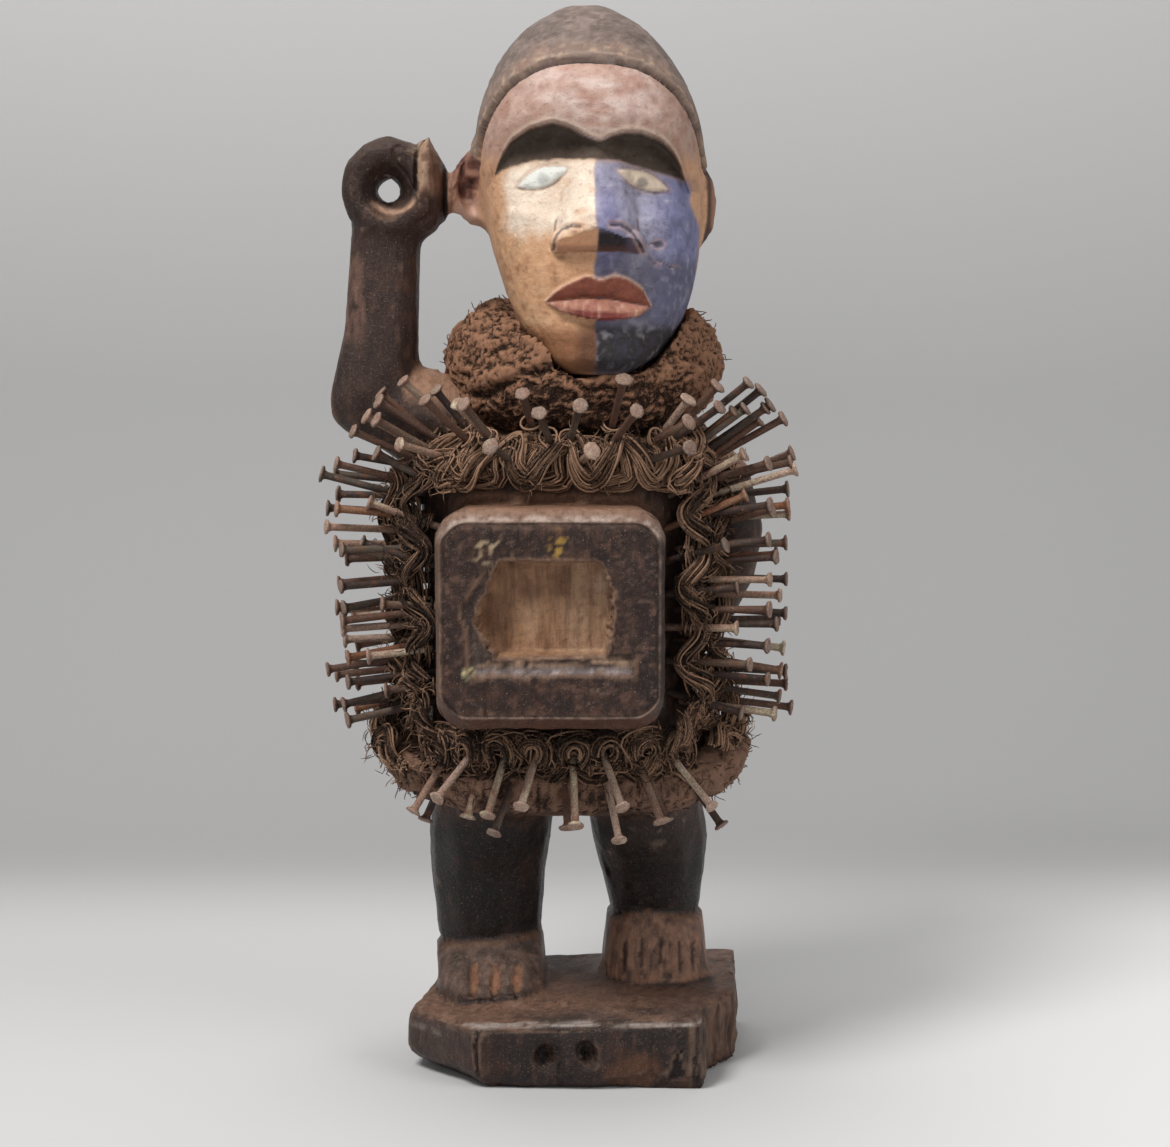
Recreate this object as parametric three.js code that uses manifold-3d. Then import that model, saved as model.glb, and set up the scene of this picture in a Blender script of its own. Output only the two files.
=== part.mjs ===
// Nkisi nkondi: a standing figure carved from one block of hardwood, 0.5 m tall,
// with a cloth roll at the neck, a fibre wrap at the hips, and iron nails lashed with cord.
// Millimetres, +Z up, the figure faces -Y, origin at the centre of the base's underside.
import * as THREE from "three";
import { mergeVertices } from "three/addons/utils/BufferGeometryUtils.js";
import { ConvexGeometry } from "three/addons/geometries/ConvexGeometry.js";
import Module from "manifold-3d";

const wasm = await Module();
wasm.setup();

// Driving dimensions: the carving
const FIT = 0.35; // clearance between touching pieces
const BASE_TOP = 31; // height of the base along its front edge
const BASE_RISE = 0.04; // the base's top climbs this much for each mm to the back and the right
const FRONT = -62; // Y of the base's front face
const CROTCH = 122;
const SHOULDER = 303;
const CHIN = 331;
const HEAD_AXIS = { x: 7.2, y: 0 };
const HEAD_TURN = THREE.MathUtils.degToRad(2); // the face looks a little towards +X
const MIDLINE = 1; // the middle of the face, in the head's own frame

// A horizontal section of a body: centre in X, half width, front and back in Y
const TORSO = [
  { z: CROTCH, x: -4, half: 65, front: -28, back: 40 },
  { z: 138, x: -4, half: 67, front: -37, back: 48 },
  { z: 165, x: -5, half: 66, front: -44, back: 50 },
  { z: 200, x: -7, half: 62, front: -46, back: 45 },
  { z: 240, x: -8, half: 63, front: -48, back: 43 },
  { z: 272, x: -8, half: 66, front: -46, back: 44 },
  { z: 292, x: -5, half: 62, front: -43, back: 43 },
  { z: SHOULDER, x: 0, half: 50, front: -38, back: 37 },
];
const LEFT_LEG = [
  { z: 40, x: -42, half: 24.5, front: -2, back: 44 },
  { z: 56, x: -42, half: 25.5, front: -3, back: 44 },
  { z: 89, x: -42.5, half: 28.3, front: -9, back: 45 },
  { z: 108, x: -41.5, half: 30, front: -18, back: 42 },
  { z: CROTCH + 6, x: -39, half: 30, front: -24, back: 38 },
];
const RIGHT_LEG = [
  { z: 45, x: 39, half: 22, front: 6, back: 50 },
  { z: 68, x: 39.2, half: 22.3, front: 4, back: 50 },
  { z: 88, x: 38.2, half: 26, front: -4, back: 48 },
  { z: 106, x: 36.5, half: 28.5, front: -14, back: 44 },
  { z: CROTCH + 6, x: 33, half: 28, front: -22, back: 38 },
];
const LEFT_FOOT = [
  { z: 24, x: -40.5, half: 24.5, front: -22, back: 46 },
  { z: 36, x: -40.5, half: 24.7, front: -22.5, back: 46 },
  { z: 43, x: -40.8, half: 24.7, front: -16, back: 46 },
  { z: 50, x: -41.5, half: 25, front: -7, back: 45 },
  { z: 53, x: -42, half: 24, front: -3, back: 44 },
];
const RIGHT_FOOT = [
  { z: 28, x: 39, half: 24.5, front: -6, back: 52 },
  { z: 43, x: 39, half: 24.5, front: -6, back: 52 },
  { z: 56, x: 39, half: 23.6, front: -1, back: 52 },
  { z: 64, x: 39, half: 22.6, front: 2.5, back: 51 },
  { z: 67, x: 39, half: 21.8, front: 5, back: 50 },
];
const FOREARM = [
  { z: 301, x: -95, half: 11, front: -14, back: 6 },
  { z: 309, x: -96.5, half: 18.5, front: -19, back: 11 },
  { z: 319, x: -96, half: 21, front: -21, back: 13 },
  { z: 333, x: -93.5, half: 20, front: -21, back: 13 },
  { z: 352, x: -91, half: 18, front: -20, back: 12 },
  { z: 400, x: -88.5, half: 16.5, front: -19, back: 11 },
];
// The head in its own turned frame: centre in X, half width, front and back in Y
const HEAD = [
  { z: CHIN, x: 2.5, half: 12, front: -56, back: -22 },
  { z: 336, x: 2.8, half: 22, front: -61, back: -2 },
  { z: 346, x: 3.3, half: 32, front: -61, back: 17 },
  { z: 360, x: 3.9, half: 40, front: -60, back: 29 },
  { z: 380, x: 3.2, half: 46.5, front: -59.5, back: 41 },
  { z: 405, x: 1.2, half: 51, front: -57, back: 50 },
  { z: 432, x: -0.4, half: 52, front: -59, back: 55 },
  { z: 450, x: -1.2, half: 49.5, front: -59.5, back: 54 },
  { z: 466, x: -1.8, half: 43.5, front: -54, back: 49 },
  { z: 480, x: -2.3, half: 35, front: -43, back: 41 },
  { z: 491, x: -2.3, half: 24, front: -31, back: 29 },
  { z: 499.5, x: -2.3, half: 9, front: -12, back: 11 },
];
const CAP = { thick: 2.4, front: 476, slope: 1.22, nape: 392 };

// Driving dimensions: what is fastened on
const NAIL = { length: 64, shank: 1.8, head: 3.8, headThick: 1.5, point: 5, sides: 5, clear: 32 };
const ROLL = { x: 3.5, y: 3, z: 335.5, inner: 34, outer: 66.5, rise: 28, deep: 0.9, tip: 6 };
const CORD = { radius: 4.6, sides: 5, steps: 3 };
const WRAP_OUTER = [
  { z: 125, x: -5, half: 69, front: -40, back: 50, dip: 0 },
  { z: 131, x: -5, half: 83, front: -49, back: 58, dip: 0 },
  { z: 142, x: -5, half: 91, front: -51.5, back: 62, dip: 3 },
  { z: 153, x: -5, half: 92, front: -51, back: 61, dip: 9 },
  { z: 161, x: -5, half: 82, front: -48, back: 55, dip: 16 },
];
const WRAP_INNER = [
  { z: 118, x: -4.5, half: 69.5, front: -38.5, back: 49.5 },
  { z: 142, x: -4.5, half: 69, front: -41, back: 51 },
  { z: 166, x: -5, half: 68, front: -46, back: 52 },
];

// Repeatable small irregularity between -1 and 1
function wobble(seed) {
  const s = Math.sin(seed * 12.9898) * 43758.5453;
  return 2 * (s - Math.floor(s)) - 1;
}

// A solid from triangles that share their corners
function solidOf(positions, triangles) {
  const vertProperties = new Float32Array(positions);
  const triVerts = new Uint32Array(triangles);
  return new wasm.Manifold(new wasm.Mesh({ numProp: 3, vertProperties, triVerts }));
}

// A solid from a closed three.js geometry
function solidFrom(geometry) {
  geometry.deleteAttribute("normal");
  geometry.deleteAttribute("uv");
  const merged = mergeVertices(geometry, 1e-3);
  const corners = new THREE.Vector3();
  const index = merged.index.array;
  const at = merged.attributes.position;
  const kept = [];
  for (let i = 0; i < index.length; i += 3) {
    const [a, b, c] = [index[i], index[i + 1], index[i + 2]];
    if (a !== b && b !== c && a !== c) kept.push(a, b, c);
  }
  let volume = 0;
  const u = new THREE.Vector3();
  const v = new THREE.Vector3();
  for (let i = 0; i < kept.length; i += 3) {
    corners.fromBufferAttribute(at, kept[i]);
    u.fromBufferAttribute(at, kept[i + 1]);
    v.fromBufferAttribute(at, kept[i + 2]);
    volume += corners.dot(u.cross(v));
  }
  if (volume < 0) kept.reverse();
  return solidOf(at.array, kept);
}

// A solid lofted through closed rings of equally many points, closed by a fan at each end
function loft(rings) {
  const count = rings[0].length;
  const positions = [];
  rings.forEach((ring) => ring.forEach((p) => positions.push(p.x, p.y, p.z)));
  const triangles = [];
  for (let r = 0; r + 1 < rings.length; r += 1) {
    for (let i = 0; i < count; i += 1) {
      const a = r * count + i;
      const b = r * count + ((i + 1) % count);
      triangles.push(a, b, b + count, a, b + count, a + count);
    }
  }
  [rings[0], rings[rings.length - 1]].forEach((ring, end) => {
    const centre = ring.reduce((sum, p) => sum.add(p), new THREE.Vector3()).divideScalar(count);
    const hub = positions.length / 3;
    positions.push(centre.x, centre.y, centre.z);
    const start = end ? (rings.length - 1) * count : 0;
    for (let i = 0; i < count; i += 1) {
      const a = start + i;
      const b = start + ((i + 1) % count);
      if (end) triangles.push(a, b, hub);
      else triangles.push(b, a, hub);
    }
  });
  const geometry = new THREE.BufferGeometry();
  geometry.setAttribute("position", new THREE.BufferAttribute(new Float32Array(positions), 3));
  geometry.setIndex(triangles);
  return solidFrom(geometry);
}

// A point of a rounded section: angle 0 faces -Y, 90 degrees faces +X
function sectionPoint(section, angle, grow = 0, power = 2.4) {
  const s = Math.sin(angle);
  const c = Math.cos(angle);
  const round = Math.pow(Math.pow(Math.abs(s), power) + Math.pow(Math.abs(c), power), -1 / power);
  const middle = (section.front + section.back) / 2;
  const deep = (section.back - section.front) / 2 + grow;
  const wide = section.half + grow;
  const z = section.z - (section.dip ?? 0) * Math.max(0, c);
  return new THREE.Vector3(section.x + wide * s * round, middle - deep * c * round, z);
}

function sectionRing(section, sides, grow, power) {
  const ring = [];
  for (let i = 0; i < sides; i += 1) {
    ring.push(sectionPoint(section, (2 * Math.PI * i) / sides, grow, power));
  }
  return ring;
}

function stack(sections, sides, grow = 0, power = 2.4) {
  return loft(sections.map((section) => sectionRing(section, sides, grow, power)));
}

// A limb swept through stations { at, wide, high }, its rings square to the way it runs
function limb(stations, sides, grow = 0) {
  const rings = stations.map((station, i) => {
    const before = stations[Math.max(i - 1, 0)].at;
    const after = stations[Math.min(i + 1, stations.length - 1)].at;
    const ahead = new THREE.Vector3().subVectors(after, before).normalize();
    const side = new THREE.Vector3(0, -1, 0);
    side.addScaledVector(ahead, -side.dot(ahead)).normalize();
    const up = new THREE.Vector3().crossVectors(ahead, side);
    const ring = [];
    for (let k = 0; k < sides; k += 1) {
      const angle = (2 * Math.PI * k) / sides;
      ring.push(
        station.at
          .clone()
          .addScaledVector(side, (station.wide + grow) * Math.cos(angle))
          .addScaledVector(up, (station.high + grow) * Math.sin(angle)),
      );
    }
    return ring;
  });
  return loft(rings);
}

function station(x, y, z, wide, high = wide) {
  return { at: new THREE.Vector3(x, y, z), wide, high };
}

function ellipsoid(centre, radii, sides = 10, rows = 6, turn = new THREE.Euler()) {
  const geometry = new THREE.SphereGeometry(1, sides, rows);
  geometry.scale(radii.x, radii.y, radii.z);
  geometry.applyMatrix4(new THREE.Matrix4().makeRotationFromEuler(turn));
  geometry.translate(centre.x, centre.y, centre.z);
  return solidFrom(geometry);
}

function block(centre, size, turn = new THREE.Euler()) {
  const geometry = new THREE.BoxGeometry(size.x, size.y, size.z);
  geometry.applyMatrix4(new THREE.Matrix4().makeRotationFromEuler(turn));
  geometry.translate(centre.x, centre.y, centre.z);
  return solidFrom(geometry);
}

function hullOf(corners) {
  return solidFrom(new ConvexGeometry(corners.map(([x, y, z]) => new THREE.Vector3(x, y, z))));
}

function joined(solids) {
  return solids.reduce((whole, solid) => whole.add(solid));
}

function vec(x, y, z) {
  return new THREE.Vector3(x, y, z);
}

// The base: an uneven block, cut away below at its left, broken off rough at its right end
function carveBase() {
  const top = [
    [-47, FRONT], [60, FRONT], [63, -36], [78, -14], [81, 57], [-56, 57], [-69, 31], [-80, -24],
  ];
  const foot = [
    [-41, -57], [60, -59], [62, -34], [77, -13], [80, 55], [-53, 54], [-62, 29], [-67, -18],
  ];
  const ringAt = (plan, height) => plan.map(([x, y]) => vec(x, y, height(x, y)));
  const topHeight = (x, y) => BASE_TOP + BASE_RISE * (x + y - FRONT);
  let base = loft([
    ringAt(foot, () => 0),
    ringAt(top, (x) => (x < -40 ? 8 : 3)),
    ringAt(top, (x, y) => topHeight(x, y) - 2.5),
    ringAt(top.map(([x, y]) => [x * 0.975, y * 0.965]), topHeight),
  ]);
  // The step along the front of the base's top, and the rough end's splits
  const band = vec(20, FRONT, BASE_TOP + 5.5);
  base = base.subtract(block(band, vec(170, 26, 8), new THREE.Euler(0.16, 0, 0)));
  const lean = new THREE.Euler(0, 0.06, 0.3);
  [-6, 16, 36].forEach((y, i) => {
    base = base.subtract(block(vec(82, y, 20 + 4 * wobble(i)), vec(8, 7, 60), lean));
  });
  // Two oval hollows in the front face
  [-13, 6].forEach((x) => {
    base = base.subtract(ellipsoid(vec(x, FRONT, 16), vec(4.4, 8, 6.3), 8, 6));
  });
  return base;
}

// A foot with slits between its toes
function carveFoot(sections, toes, slit) {
  let foot = stack(sections, 12, 0, 4);
  const [sole, step] = sections;
  toes.forEach((x) => {
    const cut = hullOf([
      [x - slit.wide / 2, step.front - 4, sole.z + slit.low],
      [x + slit.wide / 2, step.front - 4, sole.z + slit.low],
      [x - slit.wide / 2, step.front + slit.back, sole.z + slit.high],
      [x + slit.wide / 2, step.front + slit.back, sole.z + slit.high],
      [x, step.front + slit.deep, sole.z + slit.low],
      [x, step.front + slit.back + slit.deep, sole.z + slit.high - 2],
    ]);
    foot = foot.subtract(cut);
  });
  return foot;
}

function carveLegs(grow = 0) {
  return stack(LEFT_LEG, 12, grow).add(stack(RIGHT_LEG, 12, grow));
}

// The belly box, its front bevelled round and its window cut in where a mirror once sat
const BOX = { x: -10.7, z: 223.5, half: 52, tall: 50.5, corner: 15, front: -91, bevel: 6.5 };
function boxRing(y, inset, sunk = 0) {
  const ring = [];
  const half = BOX.half - inset;
  const tall = BOX.tall - inset - sunk;
  const corner = BOX.corner - inset * 0.4;
  [[1, 1, 0], [-1, 1, 1], [-1, -1, 2], [1, -1, 3]].forEach(([sx, sz, quarter]) => {
    [10, 45, 80].forEach((degrees) => {
      const angle = THREE.MathUtils.degToRad(degrees + 90 * quarter);
      ring.push(
        vec(
          BOX.x + sx * (half - corner) + corner * Math.cos(angle),
          y,
          BOX.z + sz * (tall - corner) + corner * Math.sin(angle),
        ),
      );
    });
  });
  return ring;
}

function carveBox(grow = 0) {
  return loft([
    boxRing(-26, 3 - grow),
    boxRing(BOX.front + BOX.bevel, -grow),
    boxRing(BOX.front - grow, 5 - grow, 2.5),
  ]);
}

function carveWindow() {
  const prism = (corners, back) => {
    const ringAt = (y) => corners.map(([x, z]) => vec(x, y, z));
    return loft([ringAt(back), ringAt(BOX.front - 5)]);
  };
  const window = prism(
    [[21, 252], [-33, 252], [-44, 226], [-35, 207], [14, 207], [18, 228]],
    BOX.front + 16,
  );
  const rebate = prism([[27, 254], [-36, 254], [-49, 230], [-46, 199.5], [27, 199.5]], BOX.front + 2.2);
  return window.add(rebate);
}

// The raised arm on the viewer's left: shoulder, upper arm, forearm and pierced fist
const FIST = { x: -87, y: -5, z: 417, wide: 22.5, tall: 24.5, deep: 17, hole: 5.8 };
function carveRaisedArm(grow = 0) {
  const upper = limb(
    [
      station(-104, -4, 315, 13, 12),
      station(-92, -4, 315, 17, 19),
      station(-74, -3, 311, 19, 24),
      station(-60, -1, 303, 22, 27),
      station(-34, 2, 288, 24, 22),
    ],
    12,
    grow,
  );
  return stack(FOREARM, 12, grow, 2.6).add(upper);
}

function fistRing(y, grow) {
  const ring = [];
  for (let i = 0; i < 12; i += 1) {
    const angle = (2 * Math.PI * i) / 12;
    const [wide, tall] = [FIST.wide + grow, FIST.tall + grow];
    ring.push(vec(FIST.x + wide * Math.cos(angle), y, FIST.z + tall * Math.sin(angle)));
  }
  return ring;
}

function carveFist(grow = 0) {
  const ball = loft([
    fistRing(FIST.y + FIST.deep + grow, grow - 6),
    fistRing(FIST.y + FIST.deep - 5, grow),
    fistRing(FIST.y - FIST.deep + 5, grow),
    fistRing(FIST.y - FIST.deep - grow, grow - 5),
  ]);
  const thumb = ellipsoid(vec(-71, -8, 414), vec(13 + grow, 15 + grow, 21 + grow), 10, 6);
  const spur = hullOf([
    [-74, -16, 428], [-62, -16, 424], [-64, -2, 424], [-75, -2, 428], [-68, -13, 443], [-69, -9, 443],
  ]);
  return joined([ball, thumb, spur]);
}

function carveFistHole() {
  const front = FIST.y - FIST.deep;
  const back = FIST.y + FIST.deep;
  const holeRing = (y, wide) => {
    const ring = [];
    for (let i = 0; i < 12; i += 1) {
      const angle = (2 * Math.PI * i) / 12;
      ring.push(vec(FIST.x + wide * Math.cos(angle), y, FIST.z - 1 + wide * 1.08 * Math.sin(angle)));
    }
    return ring;
  };
  return loft([
    holeRing(back + 3, 13),
    holeRing(back - 9, FIST.hole),
    holeRing(front + 11, FIST.hole),
    holeRing(front - 3, 14.5),
  ]);
}

// The other arm is bent, its elbow out to the side and its hand on the belly
function carveBentArm(grow = 0) {
  return limb(
    [
      station(24, 4, 290, 20, 20),
      station(48, 8, 291, 24, 24),
      station(68, 15, 277, 19, 19),
      station(77, 20, 254, 15, 15.5),
      station(74, 17, 236, 14, 14),
      station(62, 6, 214, 13, 13),
      station(48, -6, 200, 11, 11),
    ],
    10,
    grow,
  );
}

// Moves a solid from the head's own frame to its turned place on the neck
function placeHead(solid) {
  const degrees = THREE.MathUtils.radToDeg(HEAD_TURN);
  return solid.rotate([0, 0, degrees]).translate([HEAD_AXIS.x, HEAD_AXIS.y, 0]);
}

// The face: hollows under the brow, eyes, nose, lips and ears, in the head's own frame
const EARS = [
  { side: -1, x: -53.4, z: 419, turn: -0.66 },
  { side: 1, x: 53, z: 410, turn: 0.59 },
];

function carveFace(skull) {
  let head = skull;
  [-1, 1].forEach((side) => {
    const underBrow = ellipsoid(
      vec(MIDLINE + side * 21.5, -60.5, 432),
      vec(25, 14, 13.5),
      14,
      8,
      new THREE.Euler(-0.4, side * 0.3, side * 0.3),
    );
    head = head.subtract(underBrow);
    const eye = ellipsoid(
      vec(MIDLINE + side * 23.5, -48.5, 419.5),
      vec(13.5, 7, 4.6),
      8,
      4,
      new THREE.Euler(-0.2, side * 0.36, side * 0.35),
    );
    head = head.add(eye);
  });
  const nose = hullOf([
    [-4, -50, 438], [4, -50, 438], [-2, -58, 434], [2, -58, 434],
    [-3.2, -73, 401], [3.2, -73, 401], [-3, -73.5, 396], [3, -73.5, 396],
    [-20, -58, 391], [20, -58, 391], [-16, -64, 396], [16, -64, 396],
    [-18, -50, 388], [18, -50, 388], [0, -66, 386],
  ]);
  const upperLip = limb(
    [
      station(-24, -53, 363.5, 1.5, 1),
      station(-14, -59, 368.5, 4.6, 4.4),
      station(-5, -62.5, 371.5, 6, 4.8),
      station(5, -62.5, 371.5, 6, 4.8),
      station(14, -59, 368.5, 4.6, 4.4),
      station(24, -53, 362, 1.5, 1),
    ],
    6,
  );
  const lowerLip = limb(
    [
      station(-23, -53, 362.5, 1.5, 1),
      station(-12, -58.5, 361, 5, 4),
      station(0, -61, 360.5, 6.5, 4.6),
      station(12, -58.5, 361, 5, 4),
      station(23, -53, 361.5, 1.5, 1),
    ],
    6,
  );
  const relief = joined([nose, upperLip, lowerLip]).translate([MIDLINE, 0, 0]);
  head = head.add(relief);
  EARS.forEach(({ side, x, z, turn }) => {
    const lean = new THREE.Euler(0.12, 0, turn);
    const shell = ellipsoid(vec(x, 1, z), vec(6, 13, 19), 8, 6, lean);
    const hollow = ellipsoid(vec(x + side * 4.5, -7, z + 4), vec(5, 8, 10.5), 6, 4, lean);
    head = head.add(shell.subtract(hollow));
  });
  return head;
}

function carveCap() {
  const cap = stack(HEAD.slice(4), 20, CAP.thick);
  const reach = 240;
  const low = block(vec(0, 0, CAP.nape - reach / 2), vec(reach, reach, reach));
  // The face's side of the rim is a slanted cut from the forehead down behind the ears
  const slant = THREE.MathUtils.radToDeg(Math.atan(CAP.slope));
  const face = block(vec(0, 0, -reach / 2), vec(reach, 2 * reach, reach));
  const turned = face.rotate([-slant, 0, 0]).translate([0, -50, CAP.front]);
  return cap.subtract(low).subtract(turned);
}

function carveNeck(grow = 0) {
  return stack(
    [
      { z: 290, x: 3.5, half: 30, front: -22, back: 27 },
      { z: 352, x: 4, half: 30, front: -24, back: 28 },
    ],
    12,
    grow,
  );
}

// A point over the torso's skin: height, degrees from the front, and how far out
function torsoPoint(z, degrees, out) {
  let k = 0;
  while (k < TORSO.length - 2 && z > TORSO[k + 1].z) k += 1;
  const [low, high] = [TORSO[k], TORSO[k + 1]];
  const share = (z - low.z) / (high.z - low.z);
  const mixed = { z };
  ["x", "half", "front", "back"].forEach((key) => {
    mixed[key] = low[key] + share * (high[key] - low[key]);
  });
  return sectionPoint(mixed, THREE.MathUtils.degToRad(degrees), out);
}

// Level cords cross each flank at this pitch, and the nails stand between them
const FLANK = { passes: 8, low: 170, pitch: 14.5 };
const between = (i) => FLANK.low + FLANK.pitch * (i + 0.5);
const onCord = (i) => FLANK.low + FLANK.pitch * i;
const CHEST = { passes: 8, half: 48, low: 282, high: 300.5 };
const BELLY_Z = 160;

// Rows of nails: each pair runs from the row's start to its end, own is how many have nodes of
// their own, rise and swing turn a nail from square, and zigzag and lean set every second nail
// higher and more upright
const NAIL_ROWS = [
  {
    zone: "left_flank", own: 8, count: 8, z: [between(7), between(0)], degrees: [-63, -61],
    rise: [10, -12], swing: [-12, -14], out: 44,
  },
  {
    zone: "left_side", own: 4, count: 8, z: [between(7), between(0)], degrees: [-85, -83],
    rise: [3, -8], swing: [-4, 0], out: 43,
  },
  {
    zone: "left_rear", own: 0, count: 4, z: [onCord(7), onCord(1)], degrees: [-103, -103],
    rise: [2, -6], swing: [4, 4], out: 40,
  },
  {
    zone: "right_flank", own: 8, count: 8, z: [between(7), between(0)], degrees: [60, 58],
    rise: [12, -8], swing: [8, 12], out: 43,
  },
  {
    zone: "right_side", own: 4, count: 8, z: [between(7), between(0)], degrees: [75, 77],
    rise: [10, -8], swing: [6, 4], out: 45,
  },
  {
    zone: "right_rear", own: 0, count: 4, z: [onCord(7), onCord(1)], degrees: [84, 86],
    rise: [4, -6], swing: [2, 2], out: 42,
  },
  {
    zone: "chest", own: 8, count: 8, z: [290, 290], degrees: [-42, 42], zigzag: 6,
    rise: [14, 12], lean: 22, swing: [-8, 8], out: 40,
  },
  {
    zone: "belly", own: 8, count: 8, z: [BELLY_Z, BELLY_Z], degrees: [-45.5, 38.5],
    rise: [-54, -54], lean: 20, swing: [-6, 4], out: 42,
  },
  {
    zone: "left_shoulder", own: 2, count: 4, z: [299, onCord(8)], degrees: [-53, -58],
    rise: [40, 24], swing: [-14, -18], out: 46,
  },
  {
    zone: "right_shoulder", own: 2, count: 4, z: [298, onCord(8)], degrees: [54, 70],
    rise: [38, 28], swing: [12, 8], out: 48,
  },
  {
    zone: "back", own: 0, count: 8, z: [213, 213], degrees: [138, 222], zigzag: 40,
    rise: [4, -4], swing: [0, 0], out: 34,
  },
];

// Where one nail of a row stands, and which way its head points
function nailPlace(row, i) {
  const share = i / (row.count - 1);
  const along = ([from, to]) => from + share * (to - from);
  const seed = 7 * i + 31 * row.zone.length + row.count;
  const z = along(row.z) + (i % 2) * (row.zigzag ?? 0);
  const degrees = along(row.degrees) + 0.8 * wobble(seed + 0.3);
  const entry = torsoPoint(z, degrees, 0);
  const aim = torsoPoint(z, degrees, 10).sub(entry).setZ(0).normalize();
  aim.applyAxisAngle(vec(0, 0, 1), THREE.MathUtils.degToRad(along(row.swing) + 5 * wobble(seed + 0.6)));
  const lift = along(row.rise) + (i % 2) * (row.lean ?? 0);
  const rise = THREE.MathUtils.degToRad(lift + 4 * wobble(seed + 0.9));
  aim.multiplyScalar(Math.cos(rise)).add(vec(0, 0, Math.sin(rise)));
  return { entry, aim, out: row.out + 3 * wobble(seed + 1.2) };
}

// A nail along +Z with its point on the origin; a stub starts at height from, without its point
function nailGeometry(sides, from = 0) {
  const { length, shank, head, headThick, point } = NAIL;
  const foot = from > 0 ? [[0, from], [shank, from]] : [[0, 0], [shank, point]];
  const profile = [
    ...foot, [shank, length - headThick], [head, length - headThick], [head * 0.94, length], [0, length],
  ];
  const geometry = new THREE.LatheGeometry(profile.map(([r, z]) => new THREE.Vector2(r, z)), sides);
  return geometry.rotateX(Math.PI / 2);
}

// The square hole that a nail's shank stands in, with room all round
function holeGeometry(out) {
  const wide = (NAIL.shank + FIT) * Math.SQRT2;
  const top = NAIL.length - out + NAIL.clear;
  const profile = [[0, -1], [wide, -1], [wide, top], [0, top]];
  const geometry = new THREE.LatheGeometry(profile.map(([r, z]) => new THREE.Vector2(r, z)), 4);
  return geometry.rotateX(Math.PI / 2);
}

function drive(geometry, { entry, aim, out }) {
  const turn = new THREE.Quaternion().setFromUnitVectors(vec(0, 0, 1), aim);
  const tip = entry.clone().addScaledVector(aim, out - NAIL.length);
  geometry.applyMatrix4(new THREE.Matrix4().compose(tip, turn, vec(1, 1, 1)));
  return solidFrom(geometry);
}

// A cord of few sides run through its points, as one bundle of strands
function cordSolid(points, radius, steps) {
  const path = new THREE.CatmullRomCurve3(points);
  const outline = new THREE.Shape();
  for (let i = 0; i < CORD.sides; i += 1) {
    const angle = (2 * Math.PI * i) / CORD.sides;
    const [x, y] = [radius * Math.cos(angle), radius * Math.sin(angle)];
    if (i === 0) outline.moveTo(x, y);
    else outline.lineTo(x, y);
  }
  outline.closePath();
  return solidFrom(new THREE.ExtrudeGeometry(outline, { steps, extrudePath: path }));
}

// A cord laid to and fro over the torso, turning at both edges of its band
function serpentine({ passes, z, degrees, upright, out }) {
  const points = [];
  for (let i = 0; i <= passes; i += 1) {
    const share = i / passes;
    [0.1, 0.5, 0.9].forEach((across, k) => {
      const run = i % 2 ? 1 - across : across;
      const [down, round] = upright ? [run, share] : [share, run];
      const height = z[0] + down * (z[1] - z[0]);
      const angle = degrees[0] + round * (degrees[1] - degrees[0]);
      points.push(torsoPoint(height, angle, out + (k === 1 ? 1.5 : 0)));
    });
  }
  return points;
}

const flankRun = (degrees) => ({
  passes: FLANK.passes, z: [onCord(0), onCord(FLANK.passes)], degrees, upright: false,
  out: 9.5, radius: 6.2,
});

const LASHINGS = [
  {
    name: "chest_cord", rows: ["chest"],
    run: {
      passes: CHEST.passes, z: [CHEST.low, CHEST.high], degrees: [-CHEST.half, CHEST.half],
      upright: true, out: 6.5, radius: CORD.radius,
    },
  },
  {
    name: "left_flank_cord", rows: ["left_side", "left_rear", "left_shoulder"],
    run: flankRun([-106, -55]),
  },
  {
    name: "right_flank_cord", rows: ["right_side", "right_rear", "right_shoulder"],
    run: flankRun([53, 89]),
  },
  {
    name: "back_cord", rows: ["back"],
    run: { passes: 7, z: [200, 266], degrees: [138, 222], upright: true, out: 6, radius: CORD.radius },
  },
  {
    name: "belly_cord", rows: [],
    run: { passes: 8, z: [149, 164], degrees: [-51.5, 44.5], upright: true, out: 8.5, radius: 5.2 },
  },
];

// The carving as one solid
let carving = joined([
  carveBase(),
  carveFoot(LEFT_FOOT, [-47.5, -37.5, -27], { wide: 4, low: 9, high: 24, back: 10, deep: 5 }),
  carveFoot(RIGHT_FOOT, [22, 30, 38, 46, 54], { wide: 2.6, low: 10, high: 32, back: 7, deep: 5 }),
  carveLegs(),
  stack(TORSO, 16),
  carveBox().subtract(carveWindow()),
  carveRaisedArm(),
  carveFist().subtract(carveFistHole()),
  carveBentArm(),
  carveNeck(),
  placeHead(carveFace(stack(HEAD, 20)).add(carveCap())),
]);

// The arms, a little swollen: loose pieces are cut back by them, so that nothing overlaps
const armRoom = carveRaisedArm(FIT).add(carveBentArm(FIT));

const nails = NAIL_ROWS.flatMap((row) =>
  Array.from({ length: row.count }, (_, i) => ({
    name: `${row.zone}_nail_${i + 1}`, zone: row.zone, own: i < row.own, place: nailPlace(row, i),
  })),
);
const ownNails = nails.filter((nail) => nail.own);
const nailHoles = joined(ownNails.map(({ place }) => drive(holeGeometry(place.out), place)));
carving = carving.subtract(nailHoles);

// The largest body of a cut solid
function mainBody(solid) {
  return solid.decompose().reduce((best, body) => (body.volume() > best.volume() ? body : best));
}

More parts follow.
